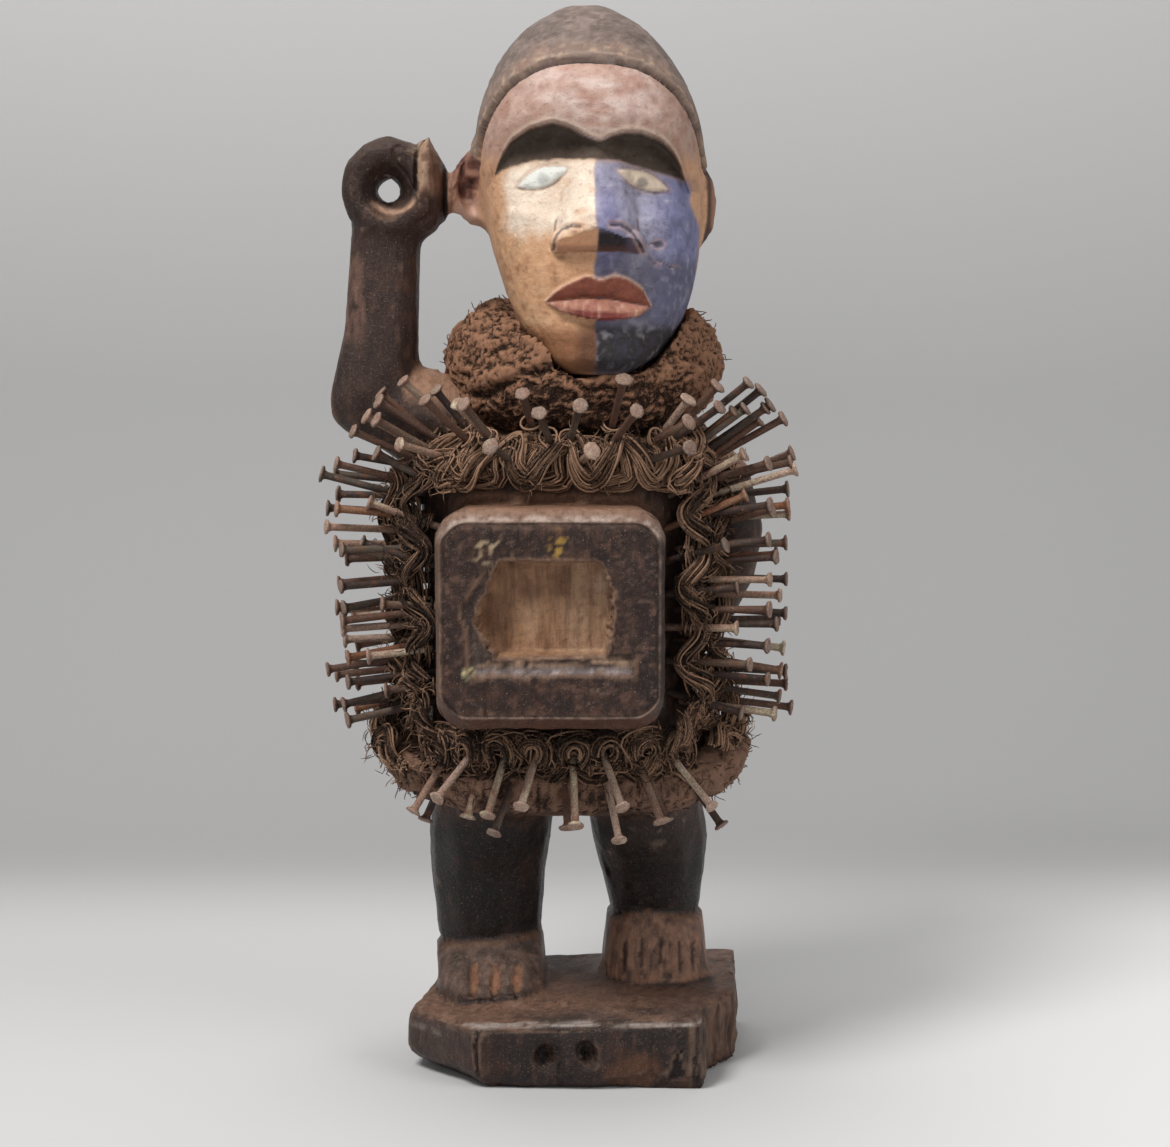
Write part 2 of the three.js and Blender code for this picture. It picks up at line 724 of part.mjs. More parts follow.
// The cloth roll round the neck, flat against it inside and tipped down in front
function makeRoll(grow = 0) {
  const middle = ROLL.inner + 12;
  const profile = [new THREE.Vector2(ROLL.inner, -0.72 * ROLL.rise - grow)];
  const count = 6;
  for (let i = 0; i <= count; i += 1) {
    const angle = Math.PI * (i / count - 0.5) * 1.1;
    const [r, z] = [ROLL.outer - middle + grow, ROLL.rise + grow];
    profile.push(new THREE.Vector2(middle + r * Math.cos(angle), z * Math.sin(angle)));
  }
  profile.push(new THREE.Vector2(ROLL.inner, 0.72 * ROLL.rise + grow), profile[0].clone());
  const geometry = new THREE.LatheGeometry(profile, 20);
  geometry.rotateX(Math.PI / 2);
  geometry.scale(1, ROLL.deep, 1);
  geometry.rotateX(THREE.MathUtils.degToRad(ROLL.tip));
  geometry.translate(ROLL.x, ROLL.y, ROLL.z);
  return solidFrom(geometry);
}

const headRoom = placeHead(stack(HEAD.slice(0, 6), 12, 3.4));
const neckRoll = mainBody(makeRoll().subtract(headRoom).subtract(armRoom));
const rollRoom = makeRoll(FIT);
const hipWrap = mainBody(stack(WRAP_OUTER, 16).subtract(stack(WRAP_INNER, 16)).subtract(nailHoles));
const wrapRoom = stack(WRAP_OUTER, 16, FIT);

// One lashing: its cord, with the nails that only its cord holds
function lash({ run, rows }) {
  const held = nails.filter((nail) => !nail.own && rows.includes(nail.zone));
  const stubs = held.map(({ place }) => drive(nailGeometry(4, NAIL.length - place.out + 2), place));
  const whole = joined([cordSolid(serpentine(run), run.radius, run.passes * CORD.steps), ...stubs]);
  return mainBody(whole.subtract(armRoom).subtract(nailHoles).subtract(rollRoom).subtract(wrapRoom));
}

const FINISH = {
  wood: { color: 0x2a1a14, roughness: 0.5, metalness: 0 },
  cloth: { color: 0x6b4a33, roughness: 1, metalness: 0 },
  fibre: { color: 0x4a2c20, roughness: 1, metalness: 0 },
  cord: { color: 0x3b2a20, roughness: 0.95, metalness: 0 },
  iron: { color: 0x6b5148, roughness: 0.7, metalness: 0.5 },
};

// A named mesh of a solid in its finish
function meshOf(name, solid, finish) {
  const raw = solid.getMesh();
  const geometry = new THREE.BufferGeometry();
  const corners = new Float32Array(raw.numVert * 3);
  for (let i = 0; i < raw.numVert; i += 1) {
    corners.set(raw.vertProperties.subarray(i * raw.numProp, i * raw.numProp + 3), i * 3);
  }
  geometry.setAttribute("position", new THREE.BufferAttribute(corners, 3));
  geometry.setIndex(new THREE.BufferAttribute(raw.triVerts, 1));
  geometry.computeVertexNormals();
  const mesh = new THREE.Mesh(geometry, new THREE.MeshStandardMaterial(finish));
  mesh.name = name;
  return mesh;
}

const figure = new THREE.Group();
figure.add(meshOf("carved_figure", mainBody(carving), FINISH.wood));
figure.add(meshOf("neck_roll", neckRoll, FINISH.cloth));
figure.add(meshOf("hip_wrap", hipWrap, FINISH.fibre));
LASHINGS.forEach((lashing) => figure.add(meshOf(lashing.name, lash(lashing), FINISH.cord)));
ownNails.forEach(({ name, place }) => {
  figure.add(meshOf(name, drive(nailGeometry(NAIL.sides), place), FINISH.iron));
});

export default figure;
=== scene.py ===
"""The looks of a standing nkisi nkondi figure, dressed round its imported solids."""

import logging
import math
from dataclasses import dataclass
from enum import Enum
from typing import Callable, Iterable, Sequence

import bmesh
import bpy
import numpy as np
from mathutils import Matrix, Vector

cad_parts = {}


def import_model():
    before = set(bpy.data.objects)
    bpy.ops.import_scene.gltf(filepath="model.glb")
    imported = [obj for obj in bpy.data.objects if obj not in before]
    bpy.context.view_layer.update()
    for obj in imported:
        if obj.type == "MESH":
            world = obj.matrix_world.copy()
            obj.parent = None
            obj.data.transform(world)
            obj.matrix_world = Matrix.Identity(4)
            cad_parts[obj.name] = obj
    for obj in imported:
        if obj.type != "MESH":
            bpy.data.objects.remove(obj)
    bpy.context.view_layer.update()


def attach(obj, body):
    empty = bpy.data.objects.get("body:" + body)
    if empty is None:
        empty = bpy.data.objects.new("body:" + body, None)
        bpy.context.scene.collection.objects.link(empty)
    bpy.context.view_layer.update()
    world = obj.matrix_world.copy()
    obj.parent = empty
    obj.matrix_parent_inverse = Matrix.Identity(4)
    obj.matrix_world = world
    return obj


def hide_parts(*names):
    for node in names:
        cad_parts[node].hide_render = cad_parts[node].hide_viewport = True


LOG = logging.getLogger("figure")
MM = 0.001
Array = np.ndarray


# Small mathematics


def ease(low: float, high: float, value: Array) -> Array:
    """Rises smoothly from 0 at low to 1 at high."""
    t = np.clip((value - low) / (high - low), 0.0, 1.0)
    return t * t * (3.0 - 2.0 * t)


def hill(distance: Array, width: float) -> Array:
    """A bell that is 1 at no distance and fades over the width."""
    return np.exp(-((distance / width) ** 2))


def wobble(seed: float) -> float:
    """Repeatable irregularity between -1 and 1, the same as the solids use."""
    s = math.sin(seed * 12.9898) * 43758.5453
    return 2.0 * (s - math.floor(s)) - 1.0


def lattice(cells: Array, seed: int) -> Array:
    """Repeatable random numbers between -1 and 1 for whole-numbered cells.

    Args:
        cells: One row of three whole numbers for each point.
        seed: Which of many such fields is meant.

    Returns:
        One number for each row.
    """
    n = cells[:, 0] * 374761393 + cells[:, 1] * 668265263 + cells[:, 2] * 1274126177 + seed * 974634777
    n = (n ^ (n >> 13)) * 1103515245
    n = (n ^ (n >> 16)) & 0xFFFF
    return n / 32767.5 - 1.0


def grain(points: Array, size: float, seed: int, octaves: int = 1) -> Array:
    """Smooth noise between about -1 and 1 over points in millimetres.

    Args:
        points: The points, one row each.
        size: The width of the largest blotches.
        seed: Which field is meant.
        octaves: How many finer layers are added, each half as strong.

    Returns:
        One number for each point.
    """
    total = np.zeros(len(points))
    strength = 1.0
    for layer in range(octaves):
        q = points / (size * 0.5**layer) + 31.7 * (seed + layer)
        low = np.floor(q)
        t = q - low
        t = t * t * (3.0 - 2.0 * t)
        cells = low.astype(np.int64)
        for corner in range(8):
            step = np.array([(corner >> k) & 1 for k in range(3)])
            weight = np.prod(np.where(step == 1, t, 1.0 - t), axis=1)
            total += strength * weight * lattice(cells + step, seed + 7 * layer)
        strength *= 0.5
    return total


def inside_by(x: Array, z: Array, corners: Sequence[tuple[float, float]]) -> Array:
    """How far inside a polygon each point lies, below 0 outside it.

    Args:
        x: The points' first coordinates.
        z: The points' second coordinates.
        corners: The polygon's corners in order.

    Returns:
        The distances to the outline, with their sign.
    """
    best = np.full(len(x), 1e9)
    inside = np.zeros(len(x), bool)
    for (ax, az), (bx, bz) in zip(corners, (*corners[1:], corners[0])):
        ex, ez = bx - ax, bz - az
        t = np.clip(((x - ax) * ex + (z - az) * ez) / (ex * ex + ez * ez), 0.0, 1.0)
        best = np.minimum(best, np.hypot(x - ax - t * ex, z - az - t * ez))
        crossing = ((az > z) != (bz > z)) & (x < ax + (z - az) * ex / (ez if ez else 1e-9))
        inside ^= crossing
    return np.where(inside, best, -best)


def linear(red: int, green: int, blue: int) -> tuple[float, float, float]:
    """A colour of 0 to 255 as the renderer's linear light."""
    parts = (red / 255.0, green / 255.0, blue / 255.0)
    return tuple(c / 12.92 if c <= 0.04045 else ((c + 0.055) / 1.055) ** 2.4 for c in parts)


# Sections, as the solids have them, in millimetres


@dataclass(frozen=True)
class Section:
    """A level section of a body: centre in X, half width, front and back in Y."""

    z: float
    x: float
    half: float
    front: float
    back: float

    def point(self, angle: float, grow: float = 0.0, power: float = 2.4) -> Vector:
        """A point of the rounded outline; angle 0 faces the front, a quarter turn faces +X.

        Args:
            angle: Where round the outline, in radians.
            grow: How far outside the section.
            power: How square the corners are.

        Returns:
            The point in millimetres.
        """
        s, c = math.sin(angle), math.cos(angle)
        bulge = (abs(s) ** power + abs(c) ** power) ** (-1.0 / power)
        middle = (self.front + self.back) / 2
        deep = (self.back - self.front) / 2 + grow
        return Vector((self.x + (self.half + grow) * s * bulge, middle - deep * c * bulge, self.z))

    def toward(self, other: "Section", share: float) -> "Section":
        """A section that share of the way to another."""
        mix = [a + share * (b - a) for a, b in zip(self.numbers(), other.numbers())]
        return Section(*mix)

    def numbers(self) -> tuple[float, float, float, float, float]:
        """The five sizes in their order."""
        return (self.z, self.x, self.half, self.front, self.back)


TORSO = [
    Section(122, -4, 65, -28, 40),
    Section(138, -4, 67, -37, 48),
    Section(165, -5, 66, -44, 50),
    Section(200, -7, 62, -46, 45),
    Section(240, -8, 63, -48, 43),
    Section(272, -8, 66, -46, 44),
    Section(292, -5, 62, -43, 43),
    Section(303, 0, 50, -38, 37),
]
HEAD = [
    Section(331, 2.5, 12, -56, -22),
    Section(336, 2.8, 22, -61, -2),
    Section(346, 3.3, 32, -61, 17),
    Section(360, 3.9, 40, -60, 29),
    Section(380, 3.2, 46.5, -59.5, 41),
    Section(405, 1.2, 51, -57, 50),
    Section(432, -0.4, 52, -59, 55),
    Section(450, -1.2, 49.5, -59.5, 54),
    Section(466, -1.8, 43.5, -54, 49),
    Section(480, -2.3, 35, -43, 41),
    Section(491, -2.3, 24, -31, 29),
    Section(499.5, -2.3, 9, -12, 11),
]
HEAD_PLACE = Matrix.Translation((7.2, 0.0, 0.0)) @ Matrix.Rotation(math.radians(2.0), 4, "Z")


def torso_point(z: float, degrees: float, out: float) -> Vector:
    """A point over the torso's skin.

    Args:
        z: Height in millimetres.
        degrees: How far round from the front.
        out: How far out from the skin.

    Returns:
        The point in millimetres.
    """
    k = 0
    while k < len(TORSO) - 2 and z > TORSO[k + 1].z:
        k += 1
    low, high = TORSO[k], TORSO[k + 1]
    mixed = low.toward(high, (z - low.z) / (high.z - low.z))
    return mixed.point(math.radians(degrees), out)


# Where the nails and cords run, as in the solids


@dataclass(frozen=True)
class NailPlace:
    """Where one nail stands: the point on the skin, the way its head points, how far it stands out."""

    entry: Vector
    aim: Vector
    out: float


@dataclass(frozen=True)
class NailRow:
    """A row of nails; each pair runs from the row's start to its end."""

    zone: str
    own: int
    count: int
    z: tuple[float, float]
    degrees: tuple[float, float]
    rise: tuple[float, float]
    swing: tuple[float, float]
    out: float
    zigzag: float = 0.0
    lean: float = 0.0
    scatter: float = 1.0

    def place(self, i: int) -> NailPlace:
        """Works out where the row's nail i stands."""
        share = i / (self.count - 1)
        seed = 7 * i + 31 * len(self.zone) + self.count

        def along(pair: tuple[float, float]) -> float:
            return pair[0] + share * (pair[1] - pair[0])

        z = along(self.z) + (i % 2) * self.zigzag
        degrees = along(self.degrees) + 0.8 * wobble(seed + 0.3)
        entry = torso_point(z, degrees, 0)
        aim = torso_point(z, degrees, 10) - entry
        aim.z = 0
        aim.normalize()
        aim.rotate(Matrix.Rotation(math.radians(along(self.swing) + 5 * self.scatter * wobble(seed + 0.6)), 3, "Z"))
        rise = math.radians(along(self.rise) + (i % 2) * self.lean + 4 * self.scatter * wobble(seed + 0.9))
        aim = aim * math.cos(rise) + Vector((0, 0, math.sin(rise)))
        return NailPlace(entry, aim, self.out + 3 * self.scatter * wobble(seed + 1.2))


@dataclass(frozen=True)
class Run:
    """A cord laid to and fro over the torso, turning at both edges of its band."""

    passes: int
    z: tuple[float, float]
    degrees: tuple[float, float]
    upright: bool
    out: float
    radius: float

    def points(self) -> list[Vector]:
        """The route's points in millimetres."""
        found = []
        for i in range(self.passes + 1):
            share = i / self.passes
            for k, across in enumerate((0.1, 0.5, 0.9)):
                run = 1 - across if i % 2 else across
                down, round_ = (run, share) if self.upright else (share, run)
                height = self.z[0] + down * (self.z[1] - self.z[0])
                angle = self.degrees[0] + round_ * (self.degrees[1] - self.degrees[0])
                found.append(torso_point(height, angle, self.out + (1.5 if k == 1 else 0)))
        return found


FLANK_LOW, FLANK_PITCH = 170.0, 14.5


def between(i: float) -> float:
    """The height between two level passes of a flank cord."""
    return FLANK_LOW + FLANK_PITCH * (i + 0.5)


def on_cord(i: float) -> float:
    """The height of a level pass of a flank cord."""
    return FLANK_LOW + FLANK_PITCH * i


NAIL_ROWS = [
    NailRow("left_flank", 8, 8, (between(7), between(0)), (-63, -61), (10, -12), (-12, -14), 44),
    NailRow("left_side", 4, 8, (between(7), between(0)), (-85, -83), (3, -8), (-4, 0), 43),
    NailRow("left_rear", 0, 4, (on_cord(7), on_cord(1)), (-103, -103), (2, -6), (4, 4), 40),
    NailRow("right_flank", 8, 8, (between(7), between(0)), (60, 58), (12, -8), (8, 12), 43),
    NailRow("right_side", 4, 8, (between(7), between(0)), (75, 77), (10, -8), (6, 4), 45),
    NailRow("right_rear", 0, 4, (on_cord(7), on_cord(1)), (84, 86), (4, -6), (2, 2), 42),
    NailRow("chest", 8, 8, (290, 290), (-42, 42), (14, 12), (-8, 8), 40, 6, 22),
    NailRow("belly", 8, 8, (160, 160), (-45.5, 38.5), (-54, -54), (-6, 4), 42, 0, 20),
    NailRow("left_shoulder", 2, 4, (299, on_cord(8)), (-53, -58), (40, 24), (-14, -18), 46),
    NailRow("right_shoulder", 2, 4, (298, on_cord(8)), (54, 70), (38, 28), (12, 8), 48),
    NailRow("back", 0, 8, (213, 213), (138, 222), (4, -4), (0, 0), 34, 40),
]
MORE_ROWS = [
    NailRow("left_front", 0, 6, (278, 186), (-52, -50), (26, -16), (-30, -34), 37, 0, 6, scatter=2.2),
    NailRow("left_middle", 0, 7, (on_cord(7), on_cord(1)), (-73, -71), (8, -12), (-10, -6), 45, scatter=2.2),
    NailRow("left_low", 0, 4, (between(0), between(3)), (-96, -94), (-10, 2), (0, 4), 41, scatter=2.2),
    NailRow("left_crown", 0, 5, (294, 286), (-38, -64), (34, 16), (-22, -16), 39, 6, 14, scatter=2.2),
    NailRow("right_front", 0, 7, (276, 182), (50, 49), (22, -14), (26, 24), 36, 0, 8, scatter=2.2),
    NailRow("right_middle", 0, 7, (on_cord(7), on_cord(1)), (68, 67), (14, -8), (6, 12), 46, scatter=2.2),
    NailRow("right_high", 0, 5, (288, 262), (60, 84), (30, 8), (14, 4), 45, 4, 6, scatter=2.2),
    NailRow("right_crown", 0, 4, (298, 288), (40, 58), (44, 22), (10, 16), 37, 4, 12, scatter=2.2),
    NailRow("chest_high", 0, 5, (297, 297), (-34, 34), (30, 28), (-6, 8), 35, 3, 14, scatter=2.2),
    NailRow("belly_low", 0, 7, (151, 151), (-49, 47), (-58, -58), (-8, 8), 37, 5, -10, scatter=2.2),
]


@dataclass(frozen=True)
class Weave:
    """A bundle that winds up or round the torso between its nails."""

    start: tuple[float, float]
    end: tuple[float, float]
    sway: tuple[float, float]
    waves: float
    out: float
    radius: float
    strands: int = 20
    pitch: float = 110.0

    def line(self, step: float = 2.4) -> Array:
        """The bundle's route in even steps."""
        rise = self.end[0] - self.start[0]
        reach = math.hypot(rise, 1.1 * (self.end[1] - self.start[1]))
        reach += 4.0 * self.waves * (abs(self.sway[0]) + abs(self.sway[1]))
        found = []
        for t in np.linspace(0.0, 1.0, int(reach / step)):
            wave = math.sin(2 * math.pi * self.waves * t)
            height = self.start[0] + t * rise + self.sway[0] * wave
            angle = self.start[1] + t * (self.end[1] - self.start[1]) + self.sway[1] * wave
            swell = self.out + 1.6 * math.cos(4 * math.pi * self.waves * t)
            found.append(tuple(torso_point(height, angle, swell)))
        return np.array(found)


CHEST_RUN = Run(8, (282, 300.5), (-48, 48), True, 6.5, 4.6)
LEFT_RUN = Run(8, (on_cord(0), on_cord(8)), (-106, -55), False, 9.5, 6.2)
RIGHT_RUN = Run(8, (on_cord(0), on_cord(8)), (53, 89), False, 9.5, 6.2)
BACK_RUN = Run(7, (200, 266), (138, 222), True, 6, 4.6)
BELLY_RUN = Run(8, (149, 164), (-51.5, 44.5), True, 8.5, 5.2)


# Mesh handling


def link(name: str, mesh: bpy.types.Mesh) -> bpy.types.Object:
    """Puts a finished mesh into the scene as a piece at the origin."""
    piece = bpy.data.objects.new(name, mesh)
    bpy.context.scene.collection.objects.link(piece)
    return piece


def finished(bm: bmesh.types.BMesh, name: str, smooth: bool = True) -> bpy.types.Mesh:
    """Turns a bmesh into a mesh and frees it.

    Args:
        bm: The bmesh.
        name: The mesh's name.
        smooth: Whether its faces are shaded smooth.

    Returns:
        The new mesh.
    """
    mesh = bpy.data.meshes.new(name)
    bm.to_mesh(mesh)
    bm.free()
    if smooth:
        mesh.polygons.foreach_set("use_smooth", np.ones(len(mesh.polygons), bool))
    return mesh


def settled(piece: bpy.types.Object, name: str) -> bpy.types.Mesh:
    """The mesh that a piece's modifiers or curve give, with the piece itself removed."""
    shown = piece.evaluated_get(bpy.context.evaluated_depsgraph_get())
    mesh = bpy.data.meshes.new_from_object(shown)
    mesh.name = name
    bpy.data.objects.remove(piece)
    return mesh


def merged_copy(node: str) -> bmesh.types.BMesh:
    """A copy of a solid's mesh with its corners merged, in metres."""
    bm = bmesh.new()
    bm.from_mesh(bpy.data.objects[node].data)
    bmesh.ops.remove_doubles(bm, verts=bm.verts, dist=1e-6)
    bmesh.ops.dissolve_degenerate(bm, edges=bm.edges, dist=1e-7)
    return bm


def voxel_skin(bm: bmesh.types.BMesh, size: float) -> bpy.types.Mesh:
    """One even skin round all that a bmesh holds.

    Args:
        bm: Closed shells, which may pass through each other. It is freed.
        size: The skin's face size in millimetres.

    Returns:
        The skin's mesh.
    """
    piece = link("shaping", finished(bm, "shaping"))
    modifier = piece.modifiers.new("skin", "REMESH")
    modifier.mode = "VOXEL"
    modifier.voxel_size = size * MM
    modifier.adaptivity = 0.0
    modifier.use_smooth_shade = True
    return settled(piece, "skin")


def points_of(mesh: bpy.types.Mesh) -> Array:
    """A mesh's points in millimetres."""
    co = np.empty(len(mesh.vertices) * 3, np.float32)
    mesh.vertices.foreach_get("co", co)
    return co.reshape(-1, 3).astype(float) / MM


def normals_of(mesh: bpy.types.Mesh) -> Array:
    """A mesh's outward directions at its points."""
    no = np.empty(len(mesh.vertices) * 3, np.float32)
    mesh.vertex_normals.foreach_get("vector", no)
    return no.reshape(-1, 3).astype(float)


def move_points(mesh: bpy.types.Mesh, points: Array) -> None:
    """Sets a mesh's points, given in millimetres."""
    mesh.vertices.foreach_set("co", (points * MM).astype(np.float32).ravel())
    mesh.update()


def edges_of(mesh: bpy.types.Mesh) -> Array:
    """A mesh's edges as pairs of point numbers."""
    pairs = np.empty(len(mesh.edges) * 2, np.int32)
    mesh.edges.foreach_get("vertices", pairs)
    return pairs.reshape(-1, 2)


def averaged(values: Array, edges: Array) -> Array:
    """Each point's mean over its neighbours."""
    ends = np.concatenate([edges[:, 0], edges[:, 1]])
    others = np.concatenate([edges[:, 1], edges[:, 0]])
    size = len(values)
    count = np.maximum(np.bincount(ends, minlength=size), 1)
    columns = values.reshape(size, -1)
    total = [np.bincount(ends, weights=column[others], minlength=size) / count for column in columns.T]
    return np.stack(total, axis=1).reshape(values.shape)


def relax(mesh: bpy.types.Mesh, times: int, weight: Array | float = 0.5) -> None:
    """Evens a mesh out.

    Args:
        mesh: The mesh.
        times: How many rounds.
        weight: How far each point goes to its neighbours' mean, for all or for each point.
    """
    edges = edges_of(mesh)
    co = points_of(mesh)
    share = weight[:, None] if isinstance(weight, np.ndarray) else weight
    for _ in range(times):
        co += share * (averaged(co, edges) - co)
    move_points(mesh, co)


def convexity(mesh: bpy.types.Mesh, rounds: int) -> Array:
    """How far each point stands proud of its surroundings, in millimetres, below 0 in a hollow."""
    edges = edges_of(mesh)
    co = points_of(mesh)
    mean = co
    for _ in range(rounds):
        mean = averaged(mean, edges)
    return np.einsum("ij,ij->i", co - mean, normals_of(mesh))


def refine(mesh: bpy.types.Mesh, where: Callable[[Array], Array], times: int = 1) -> None:
    """Divides the faces of one region finer.

    Args:
        mesh: The mesh, changed in place.
        where: Says for points in millimetres whether they are in the region.
        times: How often the faces are halved.
    """
    for _ in range(times):
        chosen = where(points_of(mesh))
        bm = bmesh.new()
        bm.from_mesh(mesh)
        edges = [e for e in bm.edges if chosen[e.verts[0].index] and chosen[e.verts[1].index]]
        bmesh.ops.subdivide_edges(bm, edges=edges, cuts=1, use_grid_fill=True)
        bm.to_mesh(mesh)
        bm.free()
    mesh.polygons.foreach_set("use_smooth", np.ones(len(mesh.polygons), bool))
    mesh.update()


def loft(bm: bmesh.types.BMesh, rings: Sequence[Sequence[Vector]]) -> None:
    """Draws a closed skin through rings of equally many points, extruding one from the next.

    Args:
        bm: Where the skin goes.
        rings: The rings, in the bmesh's own unit.
    """
    made = bmesh.ops.create_circle(bm, cap_ends=True, segments=len(rings[0]), radius=1.0)
    ring = made["verts"]
    for vert, at in zip(ring, rings[0]):
        vert.co = at
    edges = [bm.edges.get((ring[i], ring[(i + 1) % len(ring)])) for i in range(len(ring))]
    for targets in rings[1:]:
        out = bmesh.ops.extrude_edge_only(bm, edges=edges)["geom"]
        fresh = {g for g in out if isinstance(g, bmesh.types.BMVert)}
        ring = [next(v for e in vert.link_edges for v in e.verts if v in fresh) for vert in ring]
        for vert, at in zip(ring, targets):
            vert.co = at
        edges = [bm.edges.get((ring[i], ring[(i + 1) % len(ring)])) for i in range(len(ring))]
    bmesh.ops.holes_fill(bm, edges=edges, sides=0)
    bmesh.ops.recalc_face_normals(bm, faces=bm.faces)


def hull(bm: bmesh.types.BMesh, corners: Iterable[Sequence[float]]) -> None:
    """Adds the smallest bulging shell round some corners, given in millimetres."""
    verts = [bm.verts.new(Vector(c) * MM) for c in corners]
    made = bmesh.ops.convex_hull(bm, input=verts)
    inner = {g for g in made["geom_interior"] + made["geom_unused"] if isinstance(g, bmesh.types.BMVert)}
    bmesh.ops.delete(bm, geom=list(inner), context="VERTS")


def cut_off(bm: bmesh.types.BMesh, at: Vector, keep: Vector) -> None:
    """Keeps one side of a plane and closes the cut.

    Args:
        bm: The closed mesh.
        at: A point of the plane, in metres.
        keep: The way from the plane to the side that stays.
    """
    everything = bm.verts[:] + bm.edges[:] + bm.faces[:]
    bmesh.ops.bisect_plane(bm, geom=everything, plane_co=at, plane_no=-keep, clear_outer=True)
    bmesh.ops.holes_fill(bm, edges=[e for e in bm.edges if e.is_boundary], sides=0)


def dressed(name: str, mesh: bpy.types.Mesh, material: bpy.types.Material, slot: str, *nodes: str) -> bpy.types.Object:
    """Links a mesh as a piece of the figure.

    Args:
        name: The piece's name.
        mesh: Its mesh.
        material: Its finish.
        slot: The record's material slot; not used.
        nodes: The solids that it stands for.

    Returns:
        The piece.
    """
    mesh.materials.clear()
    mesh.materials.append(material)
    piece = link(name, mesh)
    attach(piece, "root")
    if nodes:
        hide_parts(*nodes)
    LOG.info("%s: %d faces", name, len(mesh.polygons))
    return piece


def write_numbers(mesh: bpy.types.Mesh, name: str, values: Array) -> None:
    """Keeps one number for each point on a mesh, for its material."""
    attribute = mesh.attributes.new(name, "FLOAT", "POINT")
    attribute.data.foreach_set("value", values.astype(np.float32))


def write_colours(mesh: bpy.types.Mesh, name: str, colours: Array) -> None:
    """Keeps one linear colour for each point on a mesh, for its material."""
    attribute = mesh.attributes.new(name, "FLOAT_COLOR", "POINT")
    full = np.concatenate([np.clip(colours, 0.0, 1.0), np.ones((len(colours), 1))], axis=1)
    attribute.data.foreach_set("color", full.astype(np.float32).ravel())


# Finishes


class Nodes:
    """Builds one material's node tree, a named step at a time."""

    def __init__(self, name: str) -> None:
        self.material = bpy.data.materials.new(name)
        self.material.use_nodes = True
        self.tree = self.material.node_tree
        self.shader = self.tree.nodes["Principled BSDF"]
        self.place = self.add("ShaderNodeTexCoord").outputs["Object"]

    def add(self, kind: str, **settings: object) -> bpy.types.Node:
        """Adds a node and sets its own settings."""
        node = self.tree.nodes.new(kind)
        for key, value in settings.items():
            setattr(node, key, value)
        return node

    def feed(self, source: object, target: bpy.types.NodeSocket) -> None:
        """Links a socket, or sets a plain value."""
        if isinstance(source, bpy.types.NodeSocket):
            self.tree.links.new(source, target)
        else:
            target.default_value = source

    def stretched(self, scale: tuple[float, float, float]) -> bpy.types.NodeSocket:
        """The object's own coordinates, scaled."""
        node = self.add("ShaderNodeMapping")
        self.feed(self.place, node.inputs["Vector"])
        node.inputs["Scale"].default_value = scale
        return node.outputs["Vector"]

    def noise(self, size: float, detail: float = 4.0, rough: float = 0.6, stretch: tuple[float, float, float] = (1, 1, 1)) -> bpy.types.NodeSocket:
        """Noise whose blotches are about a size in millimetres wide.

        Args:
            size: The blotches' width in millimetres.
            detail: How many finer layers it has.
            rough: How strong the finer layers are.
            stretch: How much finer it is along each axis.

        Returns:
            The noise's value.
        """
        node = self.add("ShaderNodeTexNoise")
        self.feed(self.stretched(stretch), node.inputs["Vector"])
        node.inputs["Scale"].default_value = 1.0 / (size * MM)
        node.inputs["Detail"].default_value = detail
        node.inputs["Roughness"].default_value = rough
        return node.outputs["Fac"]

    def between(self, value: bpy.types.NodeSocket, low: float, high: float, to_low: float = 0.0, to_high: float = 1.0) -> bpy.types.NodeSocket:
        """A value mapped smoothly from one range to another."""
        node = self.add("ShaderNodeMapRange", interpolation_type="SMOOTHSTEP")
        self.feed(value, node.inputs["Value"])
        for key, number in (("From Min", low), ("From Max", high), ("To Min", to_low), ("To Max", to_high)):
            node.inputs[key].default_value = number
        return node.outputs["Result"]

    def attribute(self, name: str, colour: bool = False) -> bpy.types.NodeSocket:
        """A number or colour kept on the mesh."""
        node = self.add("ShaderNodeAttribute", attribute_name=name)
        return node.outputs["Color" if colour else "Fac"]

    def mixed(self, share: object, a: object, b: object, blend: str = "MIX") -> bpy.types.NodeSocket:
        """Two colours mixed.

        Args:
            share: How much of the second one shows.
            a: The first colour.
            b: The second colour.
            blend: How they mix.

        Returns:
            The mixed colour.
        """
        node = self.add("ShaderNodeMix", data_type="RGBA", blend_type=blend)
        for source, socket in ((share, node.inputs[0]), (a, node.inputs[6]), (b, node.inputs[7])):
            self.feed((*source, 1.0) if isinstance(source, tuple) else source, socket)
        return node.outputs[2]

    def sum(self, a: object, b: object, operation: str = "ADD") -> bpy.types.NodeSocket:
        """Two numbers put together."""
        node = self.add("ShaderNodeMath", operation=operation)
        self.feed(a, node.inputs[0])
        self.feed(b, node.inputs[1])
        return node.outputs[0]

    def bump(self, height: bpy.types.NodeSocket, depth: float) -> None:
        """Roughens the shading by a height; depth in millimetres."""
        node = self.add("ShaderNodeBump")
        node.inputs["Distance"].default_value = depth * MM
        self.feed(height, node.inputs["Height"])
        self.feed(node.outputs["Normal"], self.shader.inputs["Normal"])

    def clear_behind(self) -> None:
        """Lets a stage surface be looked through from its back, so that every side can be seen."""
        side = self.add("ShaderNodeNewGeometry")
        clear = self.add("ShaderNodeBsdfTransparent")
        both = self.add("ShaderNodeMixShader")
        self.tree.links.new(side.outputs["Backfacing"], both.inputs[0])
        self.tree.links.new(self.shader.outputs[0], both.inputs[1])
        self.tree.links.new(clear.outputs[0], both.inputs[2])
        self.tree.links.new(both.outputs[0], self.tree.nodes["Material Output"].inputs["Surface"])


